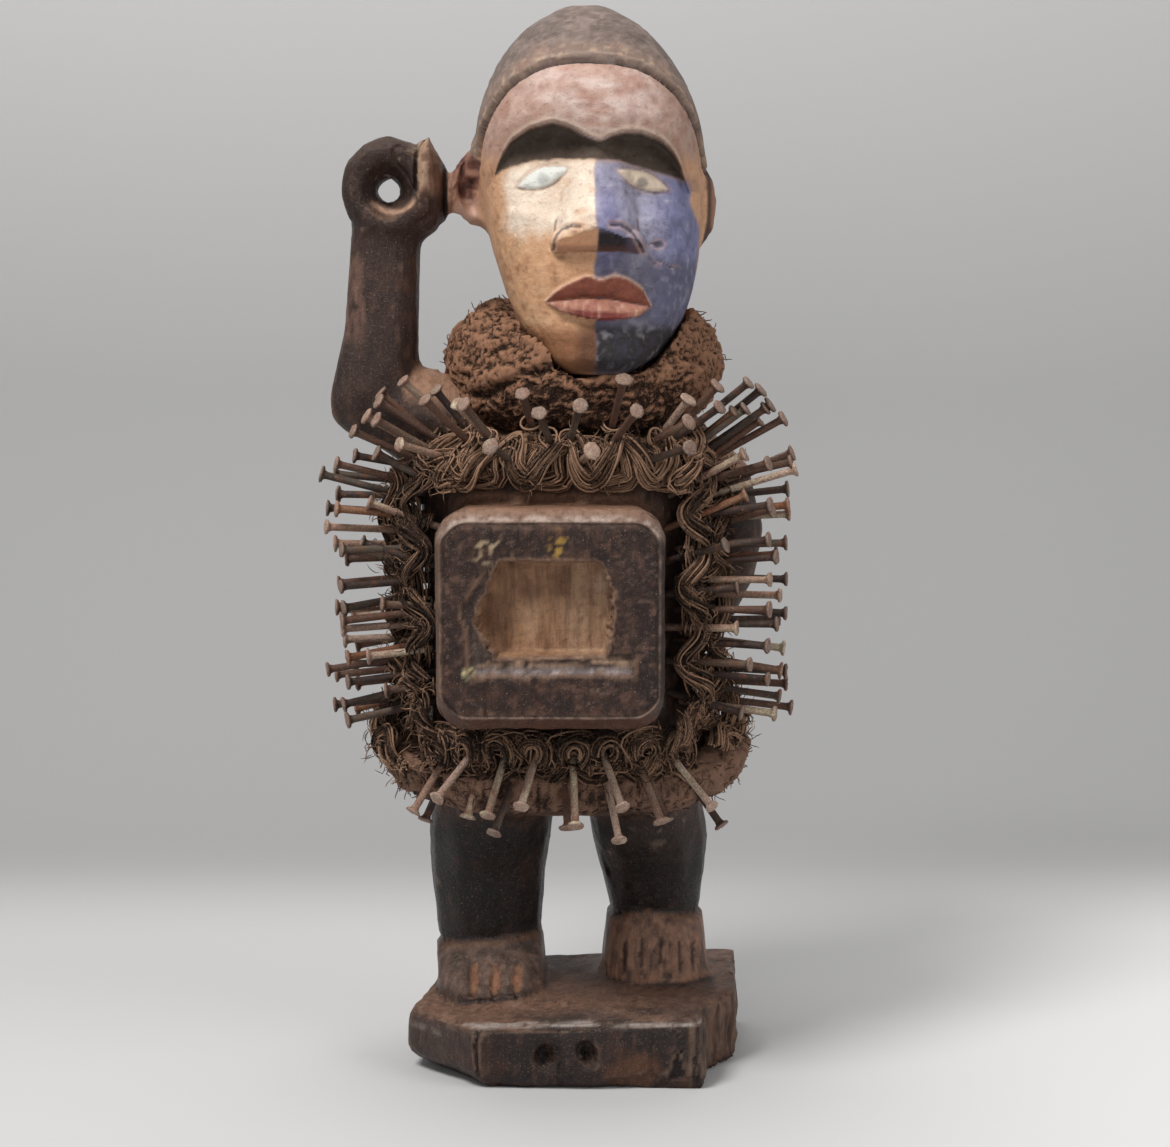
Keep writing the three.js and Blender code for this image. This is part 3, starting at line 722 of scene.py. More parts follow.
@dataclass(frozen=True)
class WoodFinish:
    """Old carved wood under paint, soot and dust, painted by the mesh's own colours, painted light and shade among
    them.
    """

    name: str = "painted wood"
    grit: float = 0.4
    streak: float = 0.5

    def make(self) -> bpy.types.Material:
        """Builds the material."""
        n = Nodes(self.name)
        paint = n.attribute("paint", colour=True)
        bare = n.attribute("bare")
        fine = n.noise(1.7, 6.0, 0.72)
        lines = n.noise(4.2, 6.0, 0.7, (1.6, 1.6, 0.22))
        blotch = n.noise(12.0, 4.0, 0.62)
        pits = n.noise(0.8, 3.0, 0.7)
        streaks = n.sum(n.between(lines, 0.42, 0.66, 0.0, self.streak), bare, "MULTIPLY")
        darker = n.mixed(streaks, paint, (0.3, 0.24, 0.2), "MULTIPLY")
        specks = n.mixed(n.between(pits, 0.3, 0.41, 0.5, 0.0), darker, (0.2, 0.14, 0.11), "MULTIPLY")
        dust = n.sum(n.between(fine, 0.52, 0.76, 0.0, self.grit), n.attribute("chalk"), "MULTIPLY")
        dusty = n.mixed(dust, specks, linear(196, 176, 160))
        scuffs = n.noise(3.4, 7.0, 0.78, (0.6, 1.0, 1.3))
        worn = n.mixed(n.between(scuffs, 0.53, 0.66, 0.0, 0.5), dusty, (0.5, 0.38, 0.3), "MULTIPLY")
        soft = n.mixed(n.between(blotch, 0.38, 0.7, 0.0, 0.3), worn, (0.62, 0.55, 0.5), "MULTIPLY")
        flecks = n.sum(n.between(n.noise(0.6, 2.0, 0.5), 0.65, 0.72, 0.0, 0.6), bare, "MULTIPLY")
        n.feed(n.mixed(flecks, soft, linear(150, 130, 116)), n.shader.inputs["Base Color"])
        rough = n.sum(n.attribute("matt"), n.between(fine, 0.3, 0.72, -0.1, 0.16))
        n.feed(rough, n.shader.inputs["Roughness"])
        n.shader.inputs["Specular IOR Level"].default_value = 0.3
        rise = n.sum(n.sum(fine, 0.9, "MULTIPLY"), n.sum(scuffs, 0.6, "MULTIPLY"))
        n.bump(n.sum(rise, n.sum(lines, bare, "MULTIPLY")), 0.65)
        return n.material


@dataclass(frozen=True)
class FibreFinish:
    """Plant fibre or cord: dark in the lay, pale where strands are frayed, dusty on top, and lighter and darker by the
    mesh's tone, which carries painted light and shade.
    """

    name: str
    dark: tuple[int, int, int]
    light: tuple[int, int, int]
    earth: tuple[int, int, int]
    size: float = 1.2
    depth: float = 0.6

    def make(self) -> bpy.types.Material:
        """Builds the material."""
        n = Nodes(self.name)
        tone = n.attribute("tone")
        fine = n.noise(self.size, 6.0, 0.75)
        broad = n.noise(13.0, 3.0, 0.6)
        strand = n.sum(n.sum(tone, 0.62, "MULTIPLY"), n.between(fine, 0.3, 0.7, 0.0, 0.45))
        fibre = n.mixed(n.between(strand, 0.17, 0.84), linear(*self.dark), linear(*self.light))
        crust = n.between(broad, 0.5, 0.68, 0.0, 0.45)
        n.feed(n.mixed(n.sum(crust, n.attribute("crust"), "MULTIPLY"), fibre, linear(*self.earth)), n.shader.inputs["Base Color"])
        n.shader.inputs["Roughness"].default_value = 0.92
        n.shader.inputs["Specular IOR Level"].default_value = 0.2
        n.bump(n.sum(fine, n.sum(n.noise(0.7, 3.0, 0.7), 0.5, "MULTIPLY")), self.depth)
        return n.material


@dataclass(frozen=True)
class IronFinish:
    """Hand-worked iron gone brown with rust, each nail of its own shade."""

    name: str = "rusted iron"

    def make(self) -> bpy.types.Material:
        """Builds the material."""
        n = Nodes(self.name)
        base = n.attribute("paint", colour=True)
        fine = n.noise(0.9, 6.0, 0.75)
        broad = n.noise(4.0, 3.0, 0.6)
        dark = n.mixed(n.between(fine, 0.42, 0.6, 0.6, 0.0), base, (0.2, 0.13, 0.1), "MULTIPLY")
        rust = n.mixed(n.between(broad, 0.52, 0.7, 0.0, 0.5), dark, linear(120, 66, 38))
        pale = n.mixed(n.between(n.noise(1.4, 4.0, 0.7), 0.6, 0.72, 0.0, 0.5), rust, linear(176, 152, 132))
        n.feed(pale, n.shader.inputs["Base Color"])
        n.feed(n.between(fine, 0.3, 0.7, 0.55, 0.85), n.shader.inputs["Roughness"])
        n.shader.inputs["Metallic"].default_value = 0.15
        n.bump(fine, 0.35)
        return n.material


# The head


@dataclass(frozen=True)
class Line:
    """A line measured across the face: heights over X, in millimetres."""

    x: tuple[float, ...]
    z: tuple[float, ...]

    def at(self, x: Array) -> Array:
        """The line's height at each x, with its corners a little softened."""
        return sum(np.interp(x + d, self.x, self.z) for d in (-1.2, -0.6, 0.0, 0.6, 1.2)) / 5.0


def off_route(x: Array, z: Array, route: Sequence[tuple[float, float]]) -> Array:
    """How far each point is from a broken line of (X, Z) points."""
    best = np.full_like(x, 99.0)
    for (a, b), (c, d) in zip(route, route[1:]):
        share = ((x - a) * (c - a) + (z - b) * (d - b)) / ((c - a) ** 2 + (d - b) ** 2)
        share = np.clip(share, 0.0, 1.0)
        best = np.minimum(best, np.hypot(x - a - share * (c - a), z - b - share * (d - b)))
    return best


WINGS = (
    ((-18.7, 388.3), (-18.5, 391.8), (-17.1, 394.7), (-14.9, 397.0), (-10.8, 398.3), (-6.8, 398.1)),
    ((7.1, 399.0), (11.1, 398.8), (14.7, 397.2), (17.4, 394.5), (19.7, 391.0), (21.5, 387.9)),
)
BROW = Line(
    (-47, -45.7, -42.5, -37.6, -29.1, -18.8, -11.2, -4.4, 2.3, 7.7, 12.6, 20.7, 29.7, 34.7, 38.7, 42.4, 44),
    (417, 421.3, 430.1, 437.7, 443, 445.7, 443.5, 439.5, 436.9, 439.5, 440.9, 441.1, 438.2, 434.3, 428.9, 419.2, 415),
)
SOOT = Line(
    (-45.3, -38, -28.6, -15.5, -2.9, 1.2, 10.2, 20.6, 31.9, 42.8),
    (422.4, 425.5, 428.2, 429.1, 428.7, 427.8, 427.9, 425.6, 422.5, 419.4),
)
LIP_TOP = Line(
    (-22.1, -18.1, -12.2, -3.7, 2.6, 8.9, 14.8, 22, 25.4),
    (364.6, 369.1, 372.7, 376.4, 374.2, 376.4, 374.8, 370, 362.4),
)
LIP_PART = Line((-22.1, -6, 4.8, 25.4), (364.6, 366.4, 366.4, 362.4))
LIP_LOW = Line(
    (-22.1, -15.8, -7.2, 1.8, 12.2, 20.3, 25.4),
    (364.6, 360.1, 357.9, 356.5, 356.8, 358.3, 362.4),
)


def head_section(z: Array) -> tuple[Array, Array, Array, Array]:
    """The head's section at each height, smooth from ring to ring.

    Args:
        z: Heights in millimetres.

    Returns:
        The sections' centres in X, half widths, fronts and backs.
    """
    rows = np.array([s.numbers() for s in HEAD])
    knots = rows[:, 0]
    slopes = np.gradient(rows[:, 1:], knots, axis=0)
    z = np.clip(z, knots[0], knots[-1])
    k = np.clip(np.searchsorted(knots, z) - 1, 0, len(knots) - 2)
    gap = knots[k + 1] - knots[k]
    t = ((z - knots[k]) / gap)[:, None]
    gap = gap[:, None]
    a, b = rows[k, 1:], rows[k + 1, 1:]
    curve = (2 * t**3 - 3 * t**2 + 1) * a + (t**3 - 2 * t**2 + t) * gap * slopes[k]
    curve += (3 * t**2 - 2 * t**3) * b + (t**3 - t**2) * gap * slopes[k + 1]
    return tuple(curve.T)


@dataclass(frozen=True)
class Eye:
    """A lens-shaped eye on the sloping cheek: centre, half sizes and tilt in degrees."""

    x: float
    z: float
    long: float
    high: float
    tilt: float
    iris: tuple[float, float]

    def radius(self, x: Array, z: Array) -> Array:
        """How far out each point is, 1 on the lens's edge."""
        c, s = math.cos(math.radians(self.tilt)), math.sin(math.radians(self.tilt))
        u = (x - self.x) * c + (z - self.z) * s
        v = (z - self.z) * c - (x - self.x) * s
        lens = np.abs(v) / self.high + (u / self.long) ** 2
        return lens

    def pupil(self, x: Array, z: Array) -> Array:
        """How far out each point is, 1 on the iris's edge."""
        return np.hypot((x - self.iris[0]) / 3.1, (z - self.iris[1]) / 2.7)


EYES = (
    Eye(-23.3, 420.6, 12.2, 4.4, 20.0, (-22.8, 420.3)),
    Eye(22.3, 419.4, 13.0, 4.2, -19.0, (21.8, 418.6)),
)


@dataclass(frozen=True)
class Ear:
    """One ear: its side, middle and turn."""

    side: int
    x: float
    z: float
    turn: float

    def frame(self) -> Matrix:
        """The ear's place in the head's own frame."""
        lean = Matrix.Rotation(0.12, 4, "X") @ Matrix.Rotation(self.turn, 4, "Z")
        return Matrix.Translation((self.x, 1.0, self.z)) @ lean

    def local(self, head: Array) -> Array:
        """Points of the head's frame in the ear's own."""
        back = np.array(self.frame().inverted())
        return head @ back[:3, :3].T + back[:3, 3]

    def share(self, head: Array) -> Array:
        """How much each point belongs to the ear."""
        p, q, r = self.local(head).T
        size = np.sqrt((p / 7.5) ** 2 + (q / 14.5) ** 2 + (r / 20.5) ** 2)
        return 1.0 - ease(0.93, 1.05, size)

    def hollow(self, head: Array) -> Array:
        """How far into the ear's hollow each point is, 0 outside it."""
        p, q, r = self.local(head).T
        near = ((q + 1.6) / 9.4) ** 2 + ((r - 1.5) / 14.0) ** 2
        outer = (self.side * p < 0.5) & (np.abs(p) < 8.0) & (self.side * head[:, 0] > 49.5)
        return np.clip(1.0 - near, 0.0, 1.0) * outer


RIM = 476.0, 1.22


def over_rim(head: Array) -> Array:
    """How far each point of the head is above the cap's slanting rim, in millimetres."""
    front, slope = RIM
    return (head[:, 2] - (front - slope * (head[:, 1] + 50.0))) / math.hypot(1.0, slope)


EARS = (Ear(-1, -54.6, 418.0, -0.92), Ear(1, 51.6, 410.0, 0.5))


class Face:
    """The face's relief over the skull, all in the head's own frame and in millimetres."""

    NOSE_TIP = 399.0
    MIDDLE = 1.0

    def skull(self, x: Array, z: Array) -> Array:
        """How far forward the plain skull is at each point."""
        centre, half, front, back = head_section(z)
        share = np.clip(np.abs(x - centre) / half, 0.0, 0.999)
        bulge = (1.0 - share**2.4) ** (1.0 / 2.4)
        return -((front + back) / 2 - (back - front) / 2 * bulge)

    def sockets(self, x: Array, z: Array) -> Array:
        """How deep the hollow under the brow is."""
        under = BROW.at(x) - z
        u = np.abs(x - self.MIDDLE)
        deep = 6.0 + 7.0 * ease(0, 12, u) - 9.5 * ease(27, 46, u)
        foot = 397.0 + 6.0 * ease(10, 40, u)
        slope = np.clip((z - foot) / (BROW.at(x) - 5.0 - foot), 0.0, 1.0)
        return deep * ease(-0.3, 2.6, under) * slope**0.85 * ease(0, 0.2, slope)

    def nose(self, x: Array, z: Array) -> Array:
        """How far forward the nose's own surface is; far behind the face where there is none."""
        u = x - self.MIDDLE
        ridge = np.interp(z, (385, 399, 403, 412, 424, 438, 450), (72.6, 72.8, 71.8, 66.5, 60.5, 52.5, 43))
        flank = np.interp(z, (395, 405, 438), (0.55, 0.68, 0.8))
        away = np.maximum(np.abs(u) - 11.0, 0.0)
        wedge = ridge - flank * (np.sqrt(u**2 + 9.0) - 3.0) - 0.28 * away**1.6
        wings = np.full_like(x, -100.0)
        for side, at, top in ((-1, 12.4, 391.4), (1, 12.8, 391.0)):
            r = ((u - side * at) / 9.0) ** 2 + ((z - top) / 7.4) ** 2
            wings = np.maximum(wings, np.where(r < 1, 57.0 + 11.0 * np.sqrt(np.clip(1 - r, 0, 1)), -100))
        return np.minimum(np.maximum(wedge, wings), self.below_nose(z))

    def below_nose(self, z: Array) -> Array:
        """How far forward the nose's slanting underside is."""
        return np.where(z > 386.5, 60.0 + 1.3 * (z - 387.5), -100.0)

    def underside(self, x: Array, z: Array) -> Array:
        """How much each point is on the nose's underside."""
        nose = self.nose(x, z)
        proud = ease(0.3, 1.6, nose - self.skull(x, z) + self.sockets(x, z))
        return proud * (np.abs(nose - self.below_nose(z)) < 0.01)

    def mouth(self, x: Array, z: Array) -> Array:
        """How proud the lips are and how deep the groove round them is."""
        top, part, low = LIP_TOP.at(x), LIP_PART.at(x), LIP_LOW.at(x)
        share = np.clip(1.0 - ((x - 1.6) / 24.5) ** 2, 0.0, 1.0)
        full = share**0.5
        up = np.clip((z - part) / np.maximum(top - part, 0.4), 0.0, 1.3)
        down = np.clip((part - z) / np.maximum(part - low, 0.4), 0.0, 1.3)
        upper = np.where(up <= 1.0, 0.4 + 3.9 * up**0.8, 0.0) * (z >= part)
        lower = np.where(down <= 1.0, 0.4 + 3.8 * np.clip(down / 0.62, 0, 1) ** 0.8 - 1.2 * np.clip(down - 0.62, 0, 1), 0.0)
        proud = full * np.where(z >= part, upper, lower * (z < part))
        groove = -1.5 * hill(z - low + 3.0, 3.2) * full - 0.5 * hill(z - top - 1.8, 1.2) * full
        crease = -1.3 * hill(z - part, 0.9) * full
        return proud + np.where((z < top) & (z > low), crease, groove)

    def eyes(self, x: Array, z: Array) -> Array:
        """The raised lenses with the line cut round them."""
        total = np.zeros_like(x)
        for eye in EYES:
            r = eye.radius(x, z)
            total += 1.7 * np.clip(1.0 - r**2, 0, 1) ** 0.6 - 0.55 * hill(r - 1.16, 0.16)
            total += 0.25 * (1.0 - ease(0.8, 1.1, eye.pupil(x, z)))
        return total

    def scars(self, x: Array, z: Array) -> Array:
        """Gouges and knocks in the paint and wood."""
        bent = 1.4 * np.sin(0.9 * x + 0.5 * z)
        total = -1.2 * hill(np.hypot((x - 29) / 1.6, z - 390.5), 1.7)
        total += -0.9 * hill((x - 25) + (z - 384.5) + 0.5 * bent, 0.7) * hill(np.hypot(x - 25, z - 384.5), 4.0)
        total += -0.8 * hill(z - 381.5 + 0.2 * (x - 32) + 0.5 * bent, 0.6) * hill(x - 33, 5.0)
        total += -0.6 * hill(z - 389 - 0.25 * (x - 20) + 0.4 * bent, 0.5) * hill(x - 24, 5.0)
        total += -0.6 * hill((x - 8) + 0.8 * (z - 362), 0.7) * hill(np.hypot(x - 8, z - 362), 3.0)
        for seed, (px, pz) in enumerate(((-6.5, 400.5), (-2.5, 401.8), (-11, 399.8), (-15, 410), (9, 401.5), (14, 400))):
            total += -0.6 * hill((x - px) + 0.3 * (z - pz), 0.6) * hill(z - pz, 1.5 + 0.4 * wobble(seed))
        wing = self.off_wings(x, z)
        return total - 1.2 * hill(wing, 0.8) + 0.5 * hill(wing - 2.0, 1.0)

    def off_wings(self, x: Array, z: Array) -> Array:
        """How far each point is from the creases round the nose's wings."""
        return np.minimum(off_route(x, z, WINGS[0]), off_route(x, z, WINGS[1]))

    def depth(self, x: Array, z: Array) -> Array:
        """How far forward the finished face is at each point."""
        plain = self.skull(x, z) - self.sockets(x, z)
        plain += 1.2 * hill(np.hypot((x - 1) / 1.6, z - 347.5), 6.5) * ease(351.5, 349.5, z)
        nose = self.nose(x, z)
        soft = 1.1
        both = np.maximum(plain, nose) + soft * np.exp(-np.abs(plain - nose) / soft) * 0.5
        return both + self.mouth(x, z) + self.eyes(x, z) + self.scars(x, z)

    def share(self, head: Array) -> Array:
        """How much each point of the head belongs to the relief."""
        x, y, z = head.T
        across = 1.0 - ease(41.0, 47.5, np.abs(x - 0.5))
        return across * ease(332.0, 340.0, z) * (1.0 - ease(462.0, 474.0, z)) * (y < -12.0)


# The box on the belly


@dataclass(frozen=True)
class BoxFront:
    """The front of the belly box: a bevelled block with a hollow broken into it, in millimetres."""

    x: float = -10.7
    z: float = 223.5
    half: float = 52.0
    tall: float = 50.5
    corner: float = 15.0
    front: float = -91.0
    bevel: float = 6.5
    floor: float = -75.5
    plug: tuple[tuple[float, float], tuple[float, float]] = ((-52.0, 30.0), (197.0, 258.0))
    window: tuple[tuple[float, float], ...] = (
        (10.5, 249.5), (-33.0, 250.0), (-44.6, 223.5), (-35.0, 206.5), (14.2, 207.5), (17.6, 226.0), (17.0, 237.0),
    )
    rebate: tuple[tuple[float, float], ...] = (
        (27.0, 254.0), (-36.0, 254.0), (-49.0, 230.0), (-46.0, 199.5), (27.0, 199.5),
    )

    def inside(self, x: Array, z: Array) -> Array:
        """How far inside the block's rounded outline each point lies."""
        u = np.abs(x - self.x) - (self.half - self.corner)
        v = np.abs(z - self.z) - (self.tall - self.corner)
        out = np.hypot(np.maximum(u, 0), np.maximum(v, 0)) + np.minimum(np.maximum(u, v), 0)
        return self.corner - out

    def broken(self, points: Array) -> tuple[Array, Array]:
        """How far inside the hollow and the splintered step round it each point lies."""
        x, _, z = points.T
        ragged = points * (0.35, 0.0, 1.0)
        tear = 1.3 * grain(ragged, 3.4, 51, 2) + 0.8 * grain(points * (0.5, 0, 1), 1.4, 52, 1)
        chips = 1.5 * grain(points * (1, 0, 1), 6.0, 53, 2)
        return inside_by(x + tear, z, self.window), inside_by(x, z, self.rebate) + chips

    def torn(self, x: Array, z: Array) -> Array:
        """How much of the step round the hollow is torn away, most at the left and below."""
        return np.clip(0.2 + ease(-31.0, -38.0, x) * ease(246.0, 236.0, z) + ease(209.0, 206.0, z), 0.0, 1.0)

    def depth(self, points: Array) -> Array:
        """The front's Y at each point."""
        x, _, z = points.T
        inside = self.inside(x, z)
        window, step = self.broken(points)
        worn = 0.5 * grain(points, 16.0, 54, 2) + 0.12 * grain(points, 3.0, 55, 2)
        bevel = self.bevel - 3.6 * (1.0 - ease(33.0, 44.0, np.abs(z - self.z)))
        groove = 0.7 * hill(inside - bevel - 1.0, 0.8)
        y = self.front + 1.05 * np.clip(bevel - inside, 0.0, None) + 0.35 - worn * 0.6 + groove
        lines = np.abs(grain(points * (1.0, 0.0, 0.12), 2.6, 56, 2))
        y += ease(-0.4, 1.2, step) * self.torn(x, z) * (2.3 - 0.5 * lines)
        low = hill(z - 203.0, 3.2) * ease(0.0, 2.0, step)
        y += low * 0.9 * np.abs(grain(points * (0.12, 0.0, 1.0), 1.8, 57, 2))
        floor = self.floor + 0.8 * lines + 0.5 * grain(points, 12.0, 58, 2)
        return y + ease(-0.3, 1.5, window) * (floor - y)

    def share(self, points: Array) -> Array:
        """How much each point of the figure belongs to the box's front."""
        x, y, z = points.T
        return ease(0.2, 1.4, self.inside(x, z)) * ease(-72.0, -76.0, y)


# The carved figure


@dataclass(frozen=True)
class SkinSizes:
    """How finely the carving's skin is drawn, in millimetres and counts."""

    face: float = 3.08
    rings: int = 52
    around: int = 72


class FigureSkin:
    """The carved wood: the solid's form with the face, tool marks, cracks and paint on it."""

    HEAD_BOX = ((-57.5, 70.0), (-100.0, 80.0), (331.0, 520.0))
    THUMB = tuple(
        (x, y, z)
        for x, z, front in (
            (-75, 432, -17), (-70.4, 441, -16), (-67.5, 438, -18), (-61.6, 430, -15), (-61.6, 414, -16),
            (-66, 402, -17), (-74, 398, -17), (-68.5, 426, -23), (-69.5, 408, -24), (-75, 412, -21),
        )
        for y in (front, 2.0)
    )

    def __init__(self, sizes: SkinSizes = SkinSizes()) -> None:
        self.sizes = sizes
        self.face = Face()
        self.box = BoxFront()
        self.into_head = np.array(HEAD_PLACE.inverted())
        self.out_of_head = np.array(HEAD_PLACE)

    def to_head(self, points: Array) -> Array:
        """Points in the head's own frame."""
        return points @ self.into_head[:3, :3].T + self.into_head[:3, 3]

    def from_head(self, points: Array) -> Array:
        """Points of the head's own frame back in the figure's."""
        return points @ self.out_of_head[:3, :3].T + self.out_of_head[:3, 3]

    def skull(self) -> bmesh.types.BMesh:
        """Draws the plain head, the ears and the neck as closed shells."""
        bm = bmesh.new()
        heights = np.linspace(HEAD[0].z, HEAD[-1].z, self.sizes.rings)
        sections = np.array(head_section(heights)).T
        rings = []
        for z, row in zip(heights, sections):
            section = Section(z, *row)
            turns = [2 * math.pi * k / self.sizes.around for k in range(self.sizes.around)]
            rings.append([HEAD_PLACE @ section.point(a) * MM for a in turns])
        loft(bm, rings)
        for ear in EARS:
            size = Matrix.Diagonal((6.0, 13.0, 19.0, 1.0))
            place = Matrix.Scale(MM, 4) @ HEAD_PLACE @ ear.frame() @ size
            bmesh.ops.create_uvsphere(bm, u_segments=24, v_segments=16, radius=1.0, matrix=place)
        neck = [Section(z, 4, 30, -24, 28) for z in (316, 330, 350, 362)]
        tube = bmesh.new()
        loft(tube, [[s.point(2 * math.pi * k / 24) * MM for k in range(24)] for s in neck])
        shell = bpy.data.meshes.new("neck")
        tube.to_mesh(shell)
        tube.free()
        bm.from_mesh(shell)
        bpy.data.meshes.remove(shell)
        return bm

    def shells(self) -> bmesh.types.BMesh:
        """Puts the solid, its head cut off, together with the drawn head."""
        whole = self.skull()
        (left, _), _, (low, _) = self.HEAD_BOX
        below = merged_copy("carved_figure")
        cut_off(below, Vector((0, 0, low * MM)), Vector((0, 0, -1)))
        arm = merged_copy("carved_figure")
        cut_off(arm, Vector((0, 0, (low - 8) * MM)), Vector((0, 0, 1)))
        cut_off(arm, Vector((left * MM, 0, 0)), Vector((-1, 0, 0)))
        pit = bmesh.new()
        x, z = self.box.plug
        bmesh.ops.create_cube(pit, size=1.0)
        for vert in pit.verts:
            vert.co = Vector((x[vert.co.x > 0], (-90.9, -66.0)[vert.co.y > 0], z[vert.co.z > 0])) * MM
        hull(pit, self.THUMB)
        for part in (below, arm, pit):
            mesh = bpy.data.meshes.new("part")
            part.to_mesh(mesh)
            part.free()
            whole.from_mesh(mesh)
            bpy.data.meshes.remove(mesh)
        return whole

    def relief(self, points: Array, normals: Array) -> Array:
        """Carves the head's relief.

        Args:
            points: The skin's points in millimetres.
            normals: The way out at each point.

        Returns:
            The points, moved.
        """
        head = self.to_head(points)
        on_head = ease(329, 334, points[:, 2]) * (points[:, 0] > -57.0)
        x, y, z = head.T
        share = self.face.share(head) * on_head
        y += share * (-self.face.depth(x, z) - y)
        ears = np.zeros(len(head))
        for ear in EARS:
            hollow = 5.0 * ear.hollow(head) ** 0.6 * on_head
            way = np.array(ear.frame().to_3x3() @ Vector((ear.side, 0.0, 0.0)))
            ears = np.maximum(ears, ear.share(head))
            head += hollow[:, None] * way
        rim = over_rim(head)
        cap = ease(-0.7, 0.4, rim) * ease(390.5, 393.0, head[:, 2]) * on_head * (1.0 - ears)
        cut = 1.7 * hill(rim + 1.3, 1.0) * on_head * ease(400.0, 415.0, head[:, 2]) * (1.0 - ears)
        moved = self.from_head(head)
        return moved + normals * (2.2 * cap - 1.1 * cut)[:, None]

    def build(self) -> bpy.types.Mesh:
        """Draws the skin and carves it."""
        mesh = voxel_skin(self.shells(), self.sizes.face)
        on_head = (points_of(mesh)[:, 2] > 333) & (points_of(mesh)[:, 0] > -57)
        relax(mesh, 3, np.where(on_head, 0.5, 0.22))
        refine(mesh, self.fine_zones, 1)
        refine(mesh, self.face_zone, 1)
        refine(mesh, self.toe_zone, 1)
        refine(mesh, self.rim_zone, 1)
        points, normals = points_of(mesh), normals_of(mesh)
        points = self.relief(points, normals)
        share = self.box.share(points)
        points[:, 1] += share * (self.box.depth(points) - points[:, 1])
        points += normals * self.feet(points, normals)[:, None]
        points[:, 1] += self.fist(points, normals)
        points += normals * self.base(points, normals)[:, None]
        move_points(mesh, points)
        points, normals = points_of(mesh), normals_of(mesh)
        move_points(mesh, points + normals * self.tooling(points)[:, None])
        return mesh

    def fine_zones(self, points: Array) -> Array:
        """Where the skin is drawn finer: the face, the box, the feet and the base's front."""
        x, y, z = points.T
        box = (y < -72) & (z > 168) & (z < 278)
        feet = (y < -20) & (z < 70) & (z > 2)
        base = ((y < -50) | (x > 56)) & (z < 36)
        head = (y < -22) & (z > 336) & (x > -57)
        fist = (y < -4) & (z > 392) & (x < -57)
        ears = (y < 2) & (z > 392) & (z < 442) & (np.abs(x - 2) > 46)
        return head | box | feet | base | fist | ears

    def rim_zone(self, points: Array) -> Array:
        """Where the box's front is bevelled."""
        x, y, z = points.T
        inside = self.box.inside(x, z)
        window = np.abs(inside_by(x, z, self.box.window))
        fist = (y < -8) & (z > 400) & (z < 440) & (x < -62)
        return fist | (y < -78) & ((inside > 1.0) & (inside < 8.5) | (inside > 9) & (window < 2.6))

    def toe_zone(self, points: Array) -> Array:
        """Where the toes are."""
        x, y, z = points.T
        left = (y < -5) & (z > 32) & (z < 49) & (np.abs(x + 38) < 15)
        right = (y < 6) & (z > 39) & (z < 59) & (np.abs(x - 41) < 20)
        return left | right

    def face_zone(self, points: Array) -> Array:
        """Where the face is."""
        x, y, z = self.to_head(points).T
        return (y < -26) & (np.abs(x) < 48) & (z > 338) & (z < 452)

    def slits(self, points: Array) -> Array:
        """How deep in a slit between toes each point lies, from 0 to 1."""
        x, y, z = points.T
        total = np.zeros(len(points))
        for places, wide, middle, tall in (
            ((-48.5, -38.0, -27.4), 2.5, 40.2, 8.6),
            ((24.0, 31.5, 41.4, 50.9, 57.6), 1.1, 49.0, 9.5),
        ):
            for k, at in enumerate(places):
                lean = at + 0.5 * wobble(k + wide) + 0.04 * (z - middle)
                shape = np.abs(x - lean) / wide + ((z - middle) / tall) ** 2
                total = np.maximum(total, (1.0 if wide > 2 else 0.5) * (1.0 - ease(0.55, 1.1, shape)))
        return total * ease(12.0, 6.0, y)

    def ankles(self, points: Array) -> Array:
        """How far above the ankles' ridges each point is, in millimetres."""
        x, _, z = points.T
        left = np.interp(x, (-65, -46, -20), (52.5, 56.2, 57.0))
        right = np.interp(x, (17, 36, 59), (64.5, 68.8, 65.4))
        return z - np.where(x < 0, left, right) - 0.7 * grain(points, 8.0, 65, 1)

    def feet(self, points: Array, normals: Array) -> Array:
        """How proud the toes and the ankles' ridges are."""
        x, y, z = points.T
        near = (z < 95) * (z > 30)
        over = self.ankles(points)
        sole = np.where(x < 0, 31.6, 36.6)
        proud = np.where(x < 0, 1.5, 1.0)
        block = proud * (1.0 - ease(-0.5, 0.7, over)) * ease(sole - 0.3, sole + 0.9, z) - 0.9 * hill(over - 1.6, 1.5)
        upright = 1.0 - ease(0.5, 0.8, normals[:, 2])
        return near * (block * upright - 2.6 * self.slits(points) * (normals[:, 1] < 0.1))

    OVALS = ((-14.2, 15.4, 5.6, 7.2), (4.9, 17.8, 5.3, 6.6))

    def oval(self, points: Array) -> Array:
        """How deep in one of the two hollows in the base's front each point lies, from 0 to 1."""
        x, _, z = points.T
        found = [np.hypot((x - a) / w, (z - b) / h) for a, b, w, h in self.OVALS]
        return 1.0 - ease(0.35, 1.05, np.minimum(*found))

    def cracks(self, points: Array) -> Array:
        """How much each point of the base's front lies in a crack."""
        x, _, z = points.T
        bend = 1.1 * grain(points, 9.0, 61, 2)
        first = hill(x + 45.7 + bend, 0.8) * ease(2.0, 8.0, z)
        second = 0.7 * hill(x + 7.9 + bend, 0.7)
        wide = 1.0 + 3.6 * ease(20.0, 9.0, z)
        notch = ease(0.0, 1.4, wide - np.abs(x - 47.5 + 2.2 * bend + 2.0 * grain(points, 4.0, 67, 1)))
        notch = 0.8 * notch * ease(3.0, 7.0, z)
        return np.maximum(np.maximum(first, second), notch)

